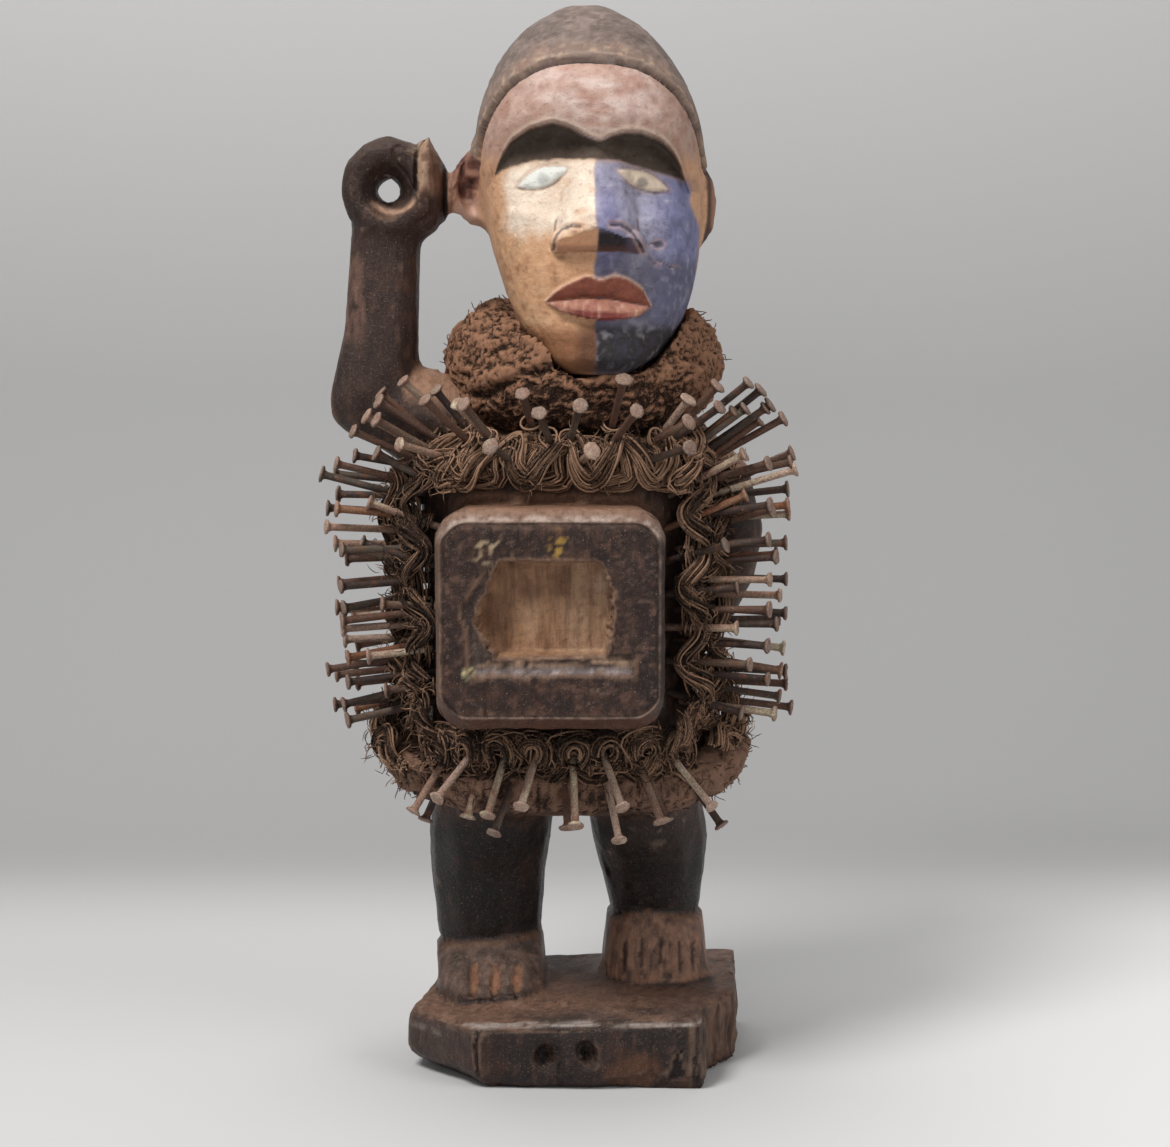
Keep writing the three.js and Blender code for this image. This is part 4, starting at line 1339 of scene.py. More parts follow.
    def base(self, points: Array, normals: Array) -> Array:
        """How proud the base's worn, chipped and cracked block is."""
        x, y, z = points.T
        low = ease(34.0, 30.0, z)
        front = low * ease(-0.4, -0.8, normals[:, 1])
        top = low * ease(0.5, 0.8, normals[:, 2])
        side = low * ease(0.4, 0.8, normals[:, 0])
        total = 0.8 * grain(points, 20.0, 62, 3) * low
        total -= front * (2.6 * self.oval(points) + 2.2 * self.cracks(points))
        total -= front * 1.4 * ease(0, 3, 8.0 - z + 3 * grain(points, 9.0, 66, 2)) * ease(8, 20, x)
        fibre = np.abs(grain(points * (1.0, 1.0, 0.14), 3.4, 63, 2))
        lumps = grain(points * (1.0, 1.0, 0.5), 7.0, 69, 2)
        total += np.maximum(ease(54.0, 60.0, x), side) * low * (1.3 * lumps - 2.8 * fibre)
        total -= top * 1.1 * np.abs(grain(points * (0.2, 1.0, 1.0), 5.0, 64, 2))
        return total

    def fist(self, points: Array, normals: Array) -> Array:
        """How far back the fist's cup, crease and thumb are cut, in millimetres."""
        x, y, z = points.T
        here = (x < -57) * ease(392, 397, z) * ease(-4.0, -9.0, y) * ease(0.1, -0.4, normals[:, 1])
        cup = np.hypot(x + 84.0, z - 417.8)
        low = ease(3.0, -3.0, z - 414.0 - 0.35 * (x + 84.0))
        cut = low * (1.8 * ease(11.6, 10.6, cup) - 0.7 * hill(cup - 12.4, 1.0))
        crease = -73.6 + 0.012 * (z - 422.0) ** 2
        cut += 2.6 * hill(x - crease, 0.9) * ease(407, 412, z)
        thumb = ease(0.3, 1.6, x - crease)
        cut += thumb * ease(412, 416, z) * (0.25 * np.abs(x + 69.5) - 1.3)
        gap = hill(x + 60.8, 1.1) * ease(394, 399, z) * ease(434, 429, z) * ease(6.0, 0.0, y)
        return here * cut + 8.0 * gap

    def tooling(self, points: Array) -> Array:
        """How proud the tool marks leave each point."""
        head = points[:, 2] > 333
        marks = 0.45 * grain(points * (1.0, 1.0, 0.5), 11.0, 3, 2)
        cuts = -0.35 * np.abs(grain(points * (1.0, 1.0, 0.3), 5.0, 4, 1))
        fine = 0.1 * grain(points, 2.6, 5, 2)
        head &= points[:, 0] > -57.0
        checks = np.maximum(np.abs(grain(points * (1.0, 1.0, 0.07), 24.0, 6, 1)) - 0.012, 0.0)
        split = -0.9 * hill(checks, 0.014) * (grain(points, 30.0, 7, 1) > 0.1)
        scuffs = -0.28 * np.abs(grain(points * (0.5, 1.0, 1.4), 4.6, 8, 2)) + 0.1 * grain(points, 1.9, 9, 2)
        return np.where(head, 0.4 * marks + scuffs, marks + cuts + split) + fine

    def paint(self, mesh: bpy.types.Mesh) -> None:
        """Keeps the paint, with its painted light and shade, its chalkiness and its gloss on the skin."""
        points, normals = points_of(mesh), normals_of(mesh)
        x, y, z = points.T
        colours = np.tile(np.array(linear(56, 39, 33)), (len(points), 1))
        mottle = grain(points, 15.0, 11, 3)
        fleck = grain(points, 3.6, 12, 2)
        edge = convexity(mesh, 3) * np.where(self.fine_zones(points), 2.2, 1.0)
        head = ease(331, 334, z) * (x > -57.0)
        body = 1.0 - head

        def lay(mask: Array, red: int, green: int, blue: int) -> None:
            colours[:] += np.clip(mask, 0, 1)[:, None] * (np.array(linear(red, green, blue)) - colours)

        lay(ease(-0.1, 1.0, mottle) * 0.6, 86, 58, 47)
        lay(ease(0.0, 0.9, -mottle) * 0.7, 35, 25, 22)
        speck = grain(points * (1.0, 1.0, 0.45), 2.3, 13, 2)
        lay(body * ease(0.15, 0.8, speck) * 0.4, 122, 88, 70)
        lay(body * ease(0.1, 0.7, -speck) * 0.5, 28, 19, 17)
        legs = body * ease(122, 112, z) * ease(33, 38, z)
        lay(legs * 0.92, 14, 9, 8)
        lay(legs * ease(0.2, 0.9, mottle) * 0.45, 58, 35, 27)
        lay(legs * ease(0.3, 1.0, speck) * 0.5, 72, 47, 38)
        over = self.ankles(points)
        feet = legs * ease(1.0, -1.0, over)
        lay(feet * (0.35 + 0.5 * ease(-0.7, 0.6, mottle + 0.3 * speck)), 106, 82, 71)
        # Painted light: the right foot is painted lighter, as where light falls on it.
        lay(feet * (x > 0) * ease(-0.9, 0.4, speck) * 0.75, 158, 118, 96)
        lay(feet * (x < 0) * ease(-0.5, 0.6, speck) * 0.4, 138, 112, 98)
        # Painted highlight along the top edge of each ankle ridge, and painted shade in the groove cut above it.
        lay(legs * hill(over + 0.3, 1.2) * 0.7, 112, 80, 60)
        lay(legs * hill(over - 1.9, 1.0) * 0.7, 26, 20, 19)
        cut = ease(0.15, 0.6, self.slits(points)) * body
        lay(cut * (x < 0) * 0.9, 140, 98, 72)
        lay(hill(self.slits(points) - 0.2, 0.12) * body * (x < 0) * (z < 60) * 0.55, 44, 30, 26)
        lay(ease(0.05, 0.3, self.slits(points)) * body * (x > 0) * 0.9, 56, 35, 27)
        foot = body * (y < 12) * (np.abs(np.abs(x) - 40) < 27)
        sole = np.where(x < 0, 31.9, 36.9)
        # Painted shadow: a dark line just under each foot's bottom edge.
        lay(foot * hill(z - sole + 0.7, 0.9) * 0.9, 26, 19, 17)
        lay(foot * hill(z - sole - 0.9, 0.7) * ease(-0.6, 0.3, fleck) * np.where(x < 0, 0.9, 0.4), 150, 92, 56)
        low = body * ease(36.0, 32.0, z)
        top = low * ease(0.35, 0.75, normals[:, 2])
        front = low * ease(-0.3, -0.75, normals[:, 1])
        lay(low, 62, 44, 36)
        lay(top, 116, 86, 70)
        lay(top * ease(0.0, 0.7, fleck) * 0.5, 136, 106, 88)
        lay(top * ease(0.0, 0.6, -speck) * 0.5, 62, 42, 34)
        dark = ease(-30.0, -46.0, y) * ease(-40.0, -10.0, x + 6.0 * mottle)
        lay(top * dark * ease(-0.9, 0.3, mottle) * 0.8, 46, 38, 36)
        lay(top * ease(0.2, 0.7, grain(points * (0.2, 1.0, 1.0), 3.0, 76, 2)) * dark * 0.5, 108, 86, 76)
        lay(front, 39, 28, 26)
        lay(front * ease(-40, -56, x) * 0.6, 76, 60, 54)
        lay(front * ease(0.0, 0.9, mottle) * 0.6, 74, 46, 35)
        lay(front * ease(0.2, 0.8, speck) * 0.4, 104, 76, 62)
        patch = ease(13, 6, np.hypot((x - 28) / 1.3, (z - 9) / 0.9) + 3 * fleck)
        lay(front * patch * 0.6, 104, 68, 47)
        lay(front * ease(0.1, 0.5, self.oval(points)), 27, 18, 16)
        lay(front * ease(0.2, 0.6, self.oval(points)) * hill(x + 11.0, 1.6) * 0.5, 86, 60, 46)
        lay(front * ease(0.2, 0.6, self.oval(points)) * hill(x - 8.0, 1.6) * 0.6, 80, 56, 44)
        lay(front * ease(0.1, 0.6, self.cracks(points)) * 0.9, 22, 15, 14)
        lay(front * ease(50, 54, x) * hill(x - 53.5, 1.0) * 0.5, 118, 92, 72)
        lay(low * ease(56, 64, x) * 0.8, 88, 60, 46)
        grooves = grain(points * (1.0, 1.0, 0.12), 2.6, 68, 2)
        lay(low * ease(56, 62, x) * ease(0.0, 0.5, grooves) * 0.7, 36, 23, 19)
        lay(low * ease(56, 62, x) * ease(0.0, 0.5, -grooves) * 0.5, 126, 92, 70)
        rims = front * ease(15.0, 12.0, np.abs(x + 4.6)) * ease(26.0, 24.0, z)
        lay(low * ease(0.4, 1.0, edge) * (z > 6) * 0.5 * (1.0 - rims), 128, 104, 88)
        # A pale line along the base's front top edge: worn wood, with a painted highlight.
        lip = hill(z - 30.0 - 0.02 * x, 0.55)
        lay(low * (y < -52) * lip * ease(-0.9, 0.0, fleck) * 0.8, 176, 166, 160)
        lay(low * hill(z - 22.0, 1.3) * hill(x + 70.0, 9.0) * (y < -20) * ease(-0.6, 0.2, fleck) * 0.6, 150, 134, 124)
        self.paint_box(points, edge, lay)
        arm = body * ease(300, 320, z)
        lay(arm * (z < 402) * 0.6, 54, 37, 32)
        lay(arm * ease(0.2, 0.9, speck) * 0.35, 96, 70, 58)
        lay(arm * (x < -84) * ease(356, 340, z) * 0.6, 44, 29, 24)
        # Painted light: a lighter strip down the forearm's outer left face.
        strip = ease(-94, -99, x + 0.06 * (z - 330)) * ease(340, 358, z) * (z < 392)
        lay(arm * strip * ease(-0.6, 0.4, speck) * 0.6, 132, 100, 86)
        lay(body * ease(262, 282, z) * ease(0.2, 0.42, normals[:, 2]) * 0.9, 158, 120, 96)
        lay(body * (z > 120) * ease(0.35, 1.1, edge) * 0.7, 122, 92, 74)
        fist = body * (z > 385) * (y < -6)
        hole = np.hypot(x + 86.8, z - 417.5)
        cup = np.hypot(x + 84.0, z - 417.8)
        lay(fist * 0.7, 50, 33, 28)
        # Painted shade inside the fist's hole, and a painted highlight on the hole's lower lip.
        lay(fist * ease(15.0, 11.0, hole) * 0.75, 40, 28, 25)
        lip = hill(cup - 11.8, 1.3) * ease(2.0, -3.0, z - 414.0 - 0.35 * (x + 84.0))
        lay(fist * lip * 1.1, 176, 142, 120)
        # Painted shade in the crease beside the thumb.
        lay(fist * hill(x + 73.6, 1.1) * ease(408, 413, z) * 0.9, 34, 24, 22)
        thumb = fist * ease(-73.2, -72.2, x)
        lay(thumb * ease(410, 418, z) * 0.8, 122, 90, 72)
        lay(thumb * ease(414, 420, z) * ease(-67.0, -69.0, x) * ease(-0.7, 0.2, fleck), 158, 130, 108)
        lay(thumb * ease(414, 406, z) * 0.8, 62, 38, 33)
        near = ease(392, 398, z) * ease(438, 432, z) * (x > -66)
        lay(body * near * ease(-60.4, -59.4, x) * 0.85, 148, 110, 92)
        # Painted shadow in the gap between the fist and the ear.
        lay(near * hill(x + 60.9, 1.0), 30, 20, 18)
        lay(fist * ease(418, 426, z) * ease(-74, -78, x) * 0.85, 44, 23, 15)
        lay(body * (z > 36) * ease(0.9, 1.5, fleck + 0.4 * mottle) * 0.6, 150, 128, 110)
        self.paint_head(points, lay)
        round_ear = (x < -42) * (x > -60.2) * (y > -26) * (y < 12) * (z > 394) * (z < 440)
        bowl = round_ear * ease(1.15, 0.8, ((x + 50.6) / 6.4) ** 2 + ((z - 423.0) / 10.5) ** 2)
        hatch = grain(points * (1.2, 0.4, 0.8), 2.6, 29, 2)
        lay(round_ear * ease(0.0, 0.5, hatch) * 0.4, 172, 134, 114)
        lay(bowl, 102, 62, 52)
        lay(bowl * ease(0.0, 0.6, hatch) * 0.6, 164, 122, 104)
        lay(bowl * ease(0.0, 0.6, -hatch) * 0.6, 48, 29, 25)
        lay(round_ear * ease(1.2, 0.7, ((x + 51.5) / 6.0) ** 2 + ((z - 407.0) / 6.0) ** 2) * 0.85, 206, 168, 150)
        write_colours(mesh, "paint", colours)
        write_numbers(mesh, "bare", np.where(head > 0.5, 0.12, 1.0))
        write_numbers(mesh, "chalk", np.where(head > 0.5, 0.35, 0.22 + 0.6 * top))
        gloss = 0.38 - 0.04 * legs + 0.36 * top + 0.24 * head
        write_numbers(mesh, "matt", gloss)

    def paint_box(self, points: Array, edge: Array, lay: Callable[..., None]) -> None:
        """Paints the box: dark and worn in front, pale where the wood is torn open, with painted light and shade on its
        bevels.
        """
        x, y, z = points.T
        inside = self.box.inside(x, z)
        here = ease(-0.5, 0.8, inside) * ease(-60.0, -70.0, y)
        window, step = self.box.broken(points)
        fleck = grain(points, 4.2, 71, 3)
        lay(here, 49, 29, 22)
        lay(here * ease(22, 36, x) * 0.8, 32, 18, 15)
        lay(here * ease(0.1, 0.9, fleck) * 0.5, 92, 62, 50)
        lay(here * ease(0.1, 0.9, -fleck) * 0.5, 30, 18, 15)
        tiny = grain(points, 1.9, 74, 2)
        lay(here * ease(0.2, 0.8, tiny) * 0.4, 120, 92, 80)
        lay(here * ease(0.2, 0.8, -tiny) * 0.6, 22, 13, 12)
        wide = self.box.bevel - 3.6 * (1.0 - ease(33.0, 44.0, np.abs(z - self.box.z)))
        bevel = here * ease(wide + 0.5, wide - 0.5, inside)
        # Painted light on the bevels: the top and left ones lighter, with a painted highlight along the top one, and
        # the right one darker as painted shade; the bottom one is browner.
        lay(bevel * ease(255, 262, z), 104, 82, 71)
        lay(bevel * ease(255, 262, z) * hill(inside - wide + 1.4, 1.5) * ease(-0.8, 0.4, fleck), 178, 164, 156)
        lay(bevel * ease(-54, -57, x) * 0.7, 112, 86, 70)
        lay(bevel * ease(36, 39, x) * ease(255, 248, z) * 0.6, 44, 31, 26)
        lay(bevel * ease(184, 178, z) * 0.8, 84, 50, 30)
        lay(here * hill(inside - wide - 0.2, 0.6) * (0.25 + 0.5 * ease(-0.4, 0.6, fleck)), 140, 118, 104)
        away = self.box.torn(x, z)
        torn = here * ease(-0.3, 0.6, step) * away
        lay(torn * 0.8, 58, 42, 36)
        splinter = grain(points * (0.25, 1.0, 1.0), 1.5, 73, 2)
        lay(torn * ease(-30, -44, x) * ease(226, 206, z) * 0.9, 72, 58, 53)
        frayed = here * hill(z - 204.6, 2.4) * ease(-46, -40, x) * ease(27, 22, x)
        lay(frayed * ease(-0.2, 0.5, splinter), 160, 132, 110)
        lay(frayed * ease(0.1, 0.6, -splinter), 44, 30, 25)
        strip = here * hill(z - 200.5, 1.5) * ease(-46, -42, x) * ease(27, 24, x) * (z > 198.7)
        bright = 0.35 + 0.5 * hill((x + 2.0) / 3.0, 9.0)
        lay(strip * (0.35 + 0.65 * ease(-0.5, 0.4, splinter + 0.6 * fleck)) * bright, 176, 166, 168)
        lay(here * hill(z - 197.6, 0.7) * ease(-46, -42, x) * ease(27, 24, x) * 0.7, 24, 17, 17)
        chips = ease(0.1, 0.7, tiny) * ease(9.0, 2.0, np.hypot((x + 37.0) / 1.3, z - 255.0))
        lay(here * chips, 186, 166, 134)
        chips = ease(0.0, 0.6, tiny) * ease(6.0, 2.0, np.hypot(x + 7.3, (z - 258.0) / 1.4))
        lay(here * chips * 0.9, 178, 142, 62)
        lay(here * ease(3.4, 2.4, np.hypot(x + 47.4, z - 200.1)) * ease(-0.6, 0.2, tiny), 196, 186, 142)
        lay(here * hill(step, 0.8) * ease(0.0, 0.8, fleck) * 0.45 * away, 168, 142, 118)
        pit = here * ease(-0.2, 0.8, window)
        streak = grain(points * (1.0, 1.0, 0.15), 5.0, 72, 3)
        lay(pit, 172, 138, 110)
        lay(pit * ease(2, -12, x) * 0.6, 160, 118, 84)
        lay(pit * ease(0.0, 0.9, streak) * 0.2, 122, 86, 60)
        lay(pit * ease(0.1, 0.9, -streak) * 0.2, 200, 168, 136)
        cloud = grain(points * (1.0, 1.0, 0.7), 9.0, 75, 3)
        lay(pit * ease(0.0, 0.8, cloud) * ease(6, -6, x) * 0.75, 104, 68, 46)
        lay(pit * ease(0.1, 0.6, tiny) * 0.35, 110, 80, 60)
        lay(pit * ease(0.2, 0.8, -cloud) * ease(-6, 6, x) * 0.4, 196, 172, 148)
        lay(pit * ease(6, 1, np.hypot((x + 18) / 1.8, z - 235)) * 0.45, 86, 54, 38)
        lay(here * hill(window + 0.3, 0.7) * ease(-0.3, 0.5, fleck) * 0.8, 196, 168, 140)

    def paint_head(self, points: Array, lay: Callable[..., None]) -> None:
        """Paints the face: white and ochre on one side, blue on the other, dark under the brow, with painted light and
        shade on the brow's edge, the nose, the lips and the cap's rim.
        """
        x, y, z = self.to_head(points).T
        here = ease(331, 334, points[:, 2]) * (points[:, 0] > -57.0)
        front = here * ease(-18, -30, y)
        blotch = grain(points, 9.0, 21, 3)
        edge = 0.7 * grain(points, 4.0, 23, 2)
        rough = grain(points, 3.2, 24, 3)
        smear = grain(points * (0.4, 1.0, 1.6), 7.0, 25, 3)
        lay(here, 198, 154, 122)
        lay(here * ease(0.1, 0.9, rough) * 0.5, 140, 92, 74)
        brow = front * ease(426, 436, z)
        lay(brow, 178, 148, 136)
        lay(brow * ease(-0.3, 0.7, smear) * hill((x - 2) / 3.0, 10.0) * 0.75, 214, 198, 194)
        lay(brow * ease(0.1, 0.9, -blotch) * 0.45, 166, 120, 106)
        lay(brow * ease(0.0, 0.8, rough) * 0.35, 202, 182, 170)
        lay(brow * ease(0.0, 0.8, -rough) * 0.4, 138, 106, 92)
        lay(brow * ease(28, 42, np.abs(x)) * 0.35, 150, 116, 98)
        face = front * (1.0 - ease(-3, 2, z - SOOT.at(x)))
        lower = ease(412, 392, z)
        left = face * ease(0.9, -0.9, x - 0.2 + edge) * ease(-45.5 - 8 * lower, -42.0 - 7 * lower, x + 1.5 * blotch)
        right = face * ease(-0.9, 0.9, x - 0.2 + edge) * ease(45.0 + 9 * lower, 42.5 + 8 * lower, x + blotch)
        lay(left, 198, 154, 118)
        lay(left * ease(0.0, 0.9, blotch) * 0.6, 156, 108, 74)
        lay(left * ease(0.2, 0.9, -smear) * 0.5, 198, 164, 130)
        white = left * ease(390, 402, z + 4 * blotch - 0.12 * (x + 20)) * ease(-44, -37, x + 2 * blotch)
        lay(white, 228, 210, 192)
        lay(white * ease(0.2, 0.9, smear) * 0.6, 204, 168, 138)
        lay(white * ease(0.1, 0.8, rough) * 0.6, 238, 226, 208)
        lay(right, 128, 127, 148)
        lay(right * ease(388, 402, z) * ease(44, 30, x) * 0.75, 166, 164, 186)
        lay(right * ease(-0.1, 0.7, smear) * 0.6, 138, 134, 152)
        lay(right * ease(18, 40, x + 5 * blotch) * 0.8, 112, 116, 156)
        lay(right * hill(x - 6, 6.0) * ease(428, 402, z) * 0.6, 98, 96, 148)
        lay(right * ease(388, 378, z) * 0.7, 78, 78, 98)
        lay(right * ease(384, 366, z) * ease(26, 14, x) * 0.5, 112, 108, 122)
        lay(right * ease(357, 350, z), 40, 36, 40)
        lay(right * ease(0.1, 0.9, rough) * 0.25, 176, 174, 186)
        lay(right * ease(0.1, 0.9, -rough) * 0.35, 62, 60, 84)
        lay(right * ease(0.8, 1.4, rough) * ease(374, 382, z) * 0.7, 206, 196, 190)
        lay(left * (1.0 - white) * ease(0.1, 0.9, -rough) * 0.35, 130, 86, 58)
        lay(left * (1.0 - white) * ease(0.2, 0.9, rough) * 0.3, 214, 176, 140)
        lay(left * ease(357, 349, z) * 0.8, 118, 72, 42)
        lay(left * ease(357, 350, z) * ease(-12, -4, x) * 0.7, 70, 40, 26)
        lay(face * ease(0.8, 1.4, -rough) * 0.5, 92, 68, 58)
        dark = front * ease(-0.6, 0.8, z - SOOT.at(x) + 0.8 * edge) * ease(0.2, 1.4, BROW.at(x) - z)
        dark *= ease(-47, -45, x) * ease(45, 43, x)
        lay(dark, 74, 62, 53)
        lay(dark * ease(0.1, 0.8, rough) * 0.4, 92, 80, 70)
        over = z - BROW.at(x)
        lay(front * (over > 0) * ease(11.0, 3.0, over + 2.0 * blotch) * 0.5, 142, 108, 90)
        # Painted highlight along the brow's edge.
        lay(front * hill(over - 1.4, 1.2) * ease(44, 38, np.abs(x)) * 0.45, 206, 188, 172)
        tones = ((218, 220, 214), (184, 188, 184)), ((206, 188, 170), (122, 116, 108))
        for eye, (white, iris) in zip(EYES, tones):
            r = eye.radius(x, z)
            lay(front * hill(r - 1.2, 0.16) * 0.3, 176, 140, 116)
            lay(front * (1.0 - ease(0.9, 1.05, r)), *white)
            lay(front * hill(r - 1.02, 0.08) * 0.4, 132, 112, 98)
            lay(front * (1.0 - ease(0.5, 1.15, eye.pupil(x, z))) * (r < 0.95) * 0.8, *iris)
        top, part, low = LIP_TOP.at(x), LIP_PART.at(x), LIP_LOW.at(x)
        inside = front * (np.abs(x - 1.6) < 24.2)
        # The lips' red-brown paint also carries painted light: the downward upper lip and the lower lip's underside
        # darker as painted shade, the lower lip's upward top paler.
        lay(inside * ease(-0.5, 0.3, top - z) * ease(-0.2, 0.4, z - part), 128, 70, 54)
        lay(inside * ease(0.2, 0.8, rough) * (z < top) * (z > part) * 0.6, 92, 46, 36)
        lay(inside * ease(-0.3, 0.4, part - z) * ease(-0.4, 0.3, z - low), 168, 118, 100)
        lay(inside * ease(0.0, 0.6, smear) * (z < part) * (z > low) * 0.5, 150, 94, 82)
        deep = np.clip((part - z) / np.maximum(part - low, 0.5), 0, 1)
        # Red paint, darkened as painted shade where the lower lip turns under.
        lay(inside * ease(0.5, 0.75, deep) * (z > low) * ease(17, 9, np.abs(x - 2)), 122, 56, 50)
        # Painted highlight along the upper lip's top edge.
        lay(inside * hill(z - top - 0.5, 0.8) * 0.55, 222, 186, 162)
        under = front * self.face.underside(x, z)
        # The nose's underside: ochre with painted light on the left, blue with painted shade on the right, darkest at
        # the right wing.
        lay(under * ease(1.5, -0.5, x - 1), 214, 162, 126)
        lay(under * ease(-0.5, 1.0, x - 1), 84, 80, 102)
        lay(under * ease(-0.5, 1.0, x - 1) * ease(17, 12, x) * ease(-1.2, 0.2, 395.0 - z), 40, 35, 40)
        # Painted shade where the nose meets the cheeks and along the nose's bottom edge.
        lay(face * hill(self.face.nose(x, z) - self.face.skull(x, z) - 0.6, 0.9) * (z > 387) * (z < 402) * 0.8, 104, 66, 54)
        lay(under * ease(391.0, 388.6, z) * 0.5, 96, 60, 44)
        wing = self.face.off_wings(x, z)
        # Painted highlight on the raised rim round each wing of the nose.
        lay(face * hill(wing - 1.5, 0.6) * (x < 0) * 0.5, 222, 184, 158)
        lay(face * hill(wing - 1.5, 0.6) * (x > 0) * 0.5, 184, 144, 126)
        wrinkle = grain(np.stack([x, y, 0.15 * z], axis=1), 1.7, 30, 1)
        lay(inside * (z < top) * (z > low) * ease(0.2, 0.8, wrinkle) * 0.35, 88, 46, 36)
        lay(inside * (z < part) * (z > low) * ease(0.2, 0.8, -wrinkle) * 0.3, 226, 190, 170)
        # Dark in the gouges, and painted shade in the creases round the nose's wings; pale edges to the gouges on the
        # right.
        gouges_and_shaded_creases = np.clip(-self.face.scars(x, z) / 0.9, 0, 1)
        lay(face * ease(0.3, 1.0, gouges_and_shaded_creases) * 0.7, 66, 52, 56)
        lay(face * hill(gouges_and_shaded_creases - 0.3, 0.15) * (x > 18) * 0.4, 196, 156, 136)
        head = np.stack([x, y, z], axis=1)
        ears = np.maximum(EARS[0].share(head), EARS[1].share(head))
        rim = over_rim(head)
        cap = here * ease(-0.8, 0.4, rim) * ease(390.0, 392.5, z) * (1.0 - ears)
        lay(cap, 106, 93, 87)
        lay(cap * ease(-0.2, 0.9, blotch) * 0.6, 138, 120, 112)
        pores = grain(head, 1.8, 28, 2)
        lay(cap * ease(0.1, 0.7, pores) * 0.3, 158, 140, 132)
        lay(cap * ease(0.0, 0.7, -pores) * 0.4, 62, 50, 45)
        lay(cap * ease(14.0, 3.0, rim + 3.0 * blotch) * 0.4, 150, 124, 110)
        lay(cap * ease(9.0, 2.0, rim) * ease(0.1, 0.8, pores) * 0.6, 178, 152, 122)
        # Painted shadow in the cut under the cap's rim, and a painted highlight along the rim's edge.
        lay(here * hill(rim + 1.1, 1.0) * ease(400, 415, z) * (1.0 - ears), 38, 26, 22)
        lay(cap * hill(rim - 0.8, 0.6) * 0.6, 176, 154, 140)
        lay(cap * hill(rim - 6.0, 5.0) * ease(0.3, 0.9, blotch) * 0.35, 140, 98, 80)
        lay(here * ease(392, 388, z) * ease(-5, 10, y), 110, 84, 70)
        lay(ears * here, 150, 112, 92)
        lay(ears * here * ease(0.0, 0.8, blotch) * 0.5, 112, 78, 64)
        lay(ears * here * ease(412, 404, z) * (x < 0) * ease(-30, -38, x) * 0.8, 196, 158, 138)
        lay(ears * here * (x > 0) * ease(57.5, 55.5, x) * 0.85, 58, 42, 38)
        lay(ears * here * (x > 0) * ease(400, 394, z) * 0.8, 70, 52, 46)
        hatch = grain(head * (1.0, 1.6, 0.5), 2.4, 27, 2)
        for ear in EARS:
            hollow = ease(0.05, 0.35, ear.hollow(head)) * here
            lay(hollow, 112, 66, 54)
            lay(hollow * ease(0.0, 0.7, hatch) * 0.7, 56, 34, 30)

    def dress(self) -> bpy.types.Object:
        """Builds, paints and links the figure."""
        mesh = self.build()
        self.paint(mesh)
        return dressed("figure_skin", mesh, WoodFinish().make(), "wood", "carved_figure")


# The nails


class NailTone(Enum):
    """The nails' shades of rust, as they show in the light."""

    BROWN = (104, 76, 62)
    DARK = (66, 50, 44)
    TAN = (158, 128, 110)
    ORANGE = (132, 86, 58)
    PALE = (182, 156, 140)


@dataclass(frozen=True)
class NailSizes:
    """A nail's sizes in millimetres."""

    length: float = 64.0
    shank: float = 1.8
    head: float = 3.8
    thick: float = 1.5
    point: float = 5.0
    sides: int = 10


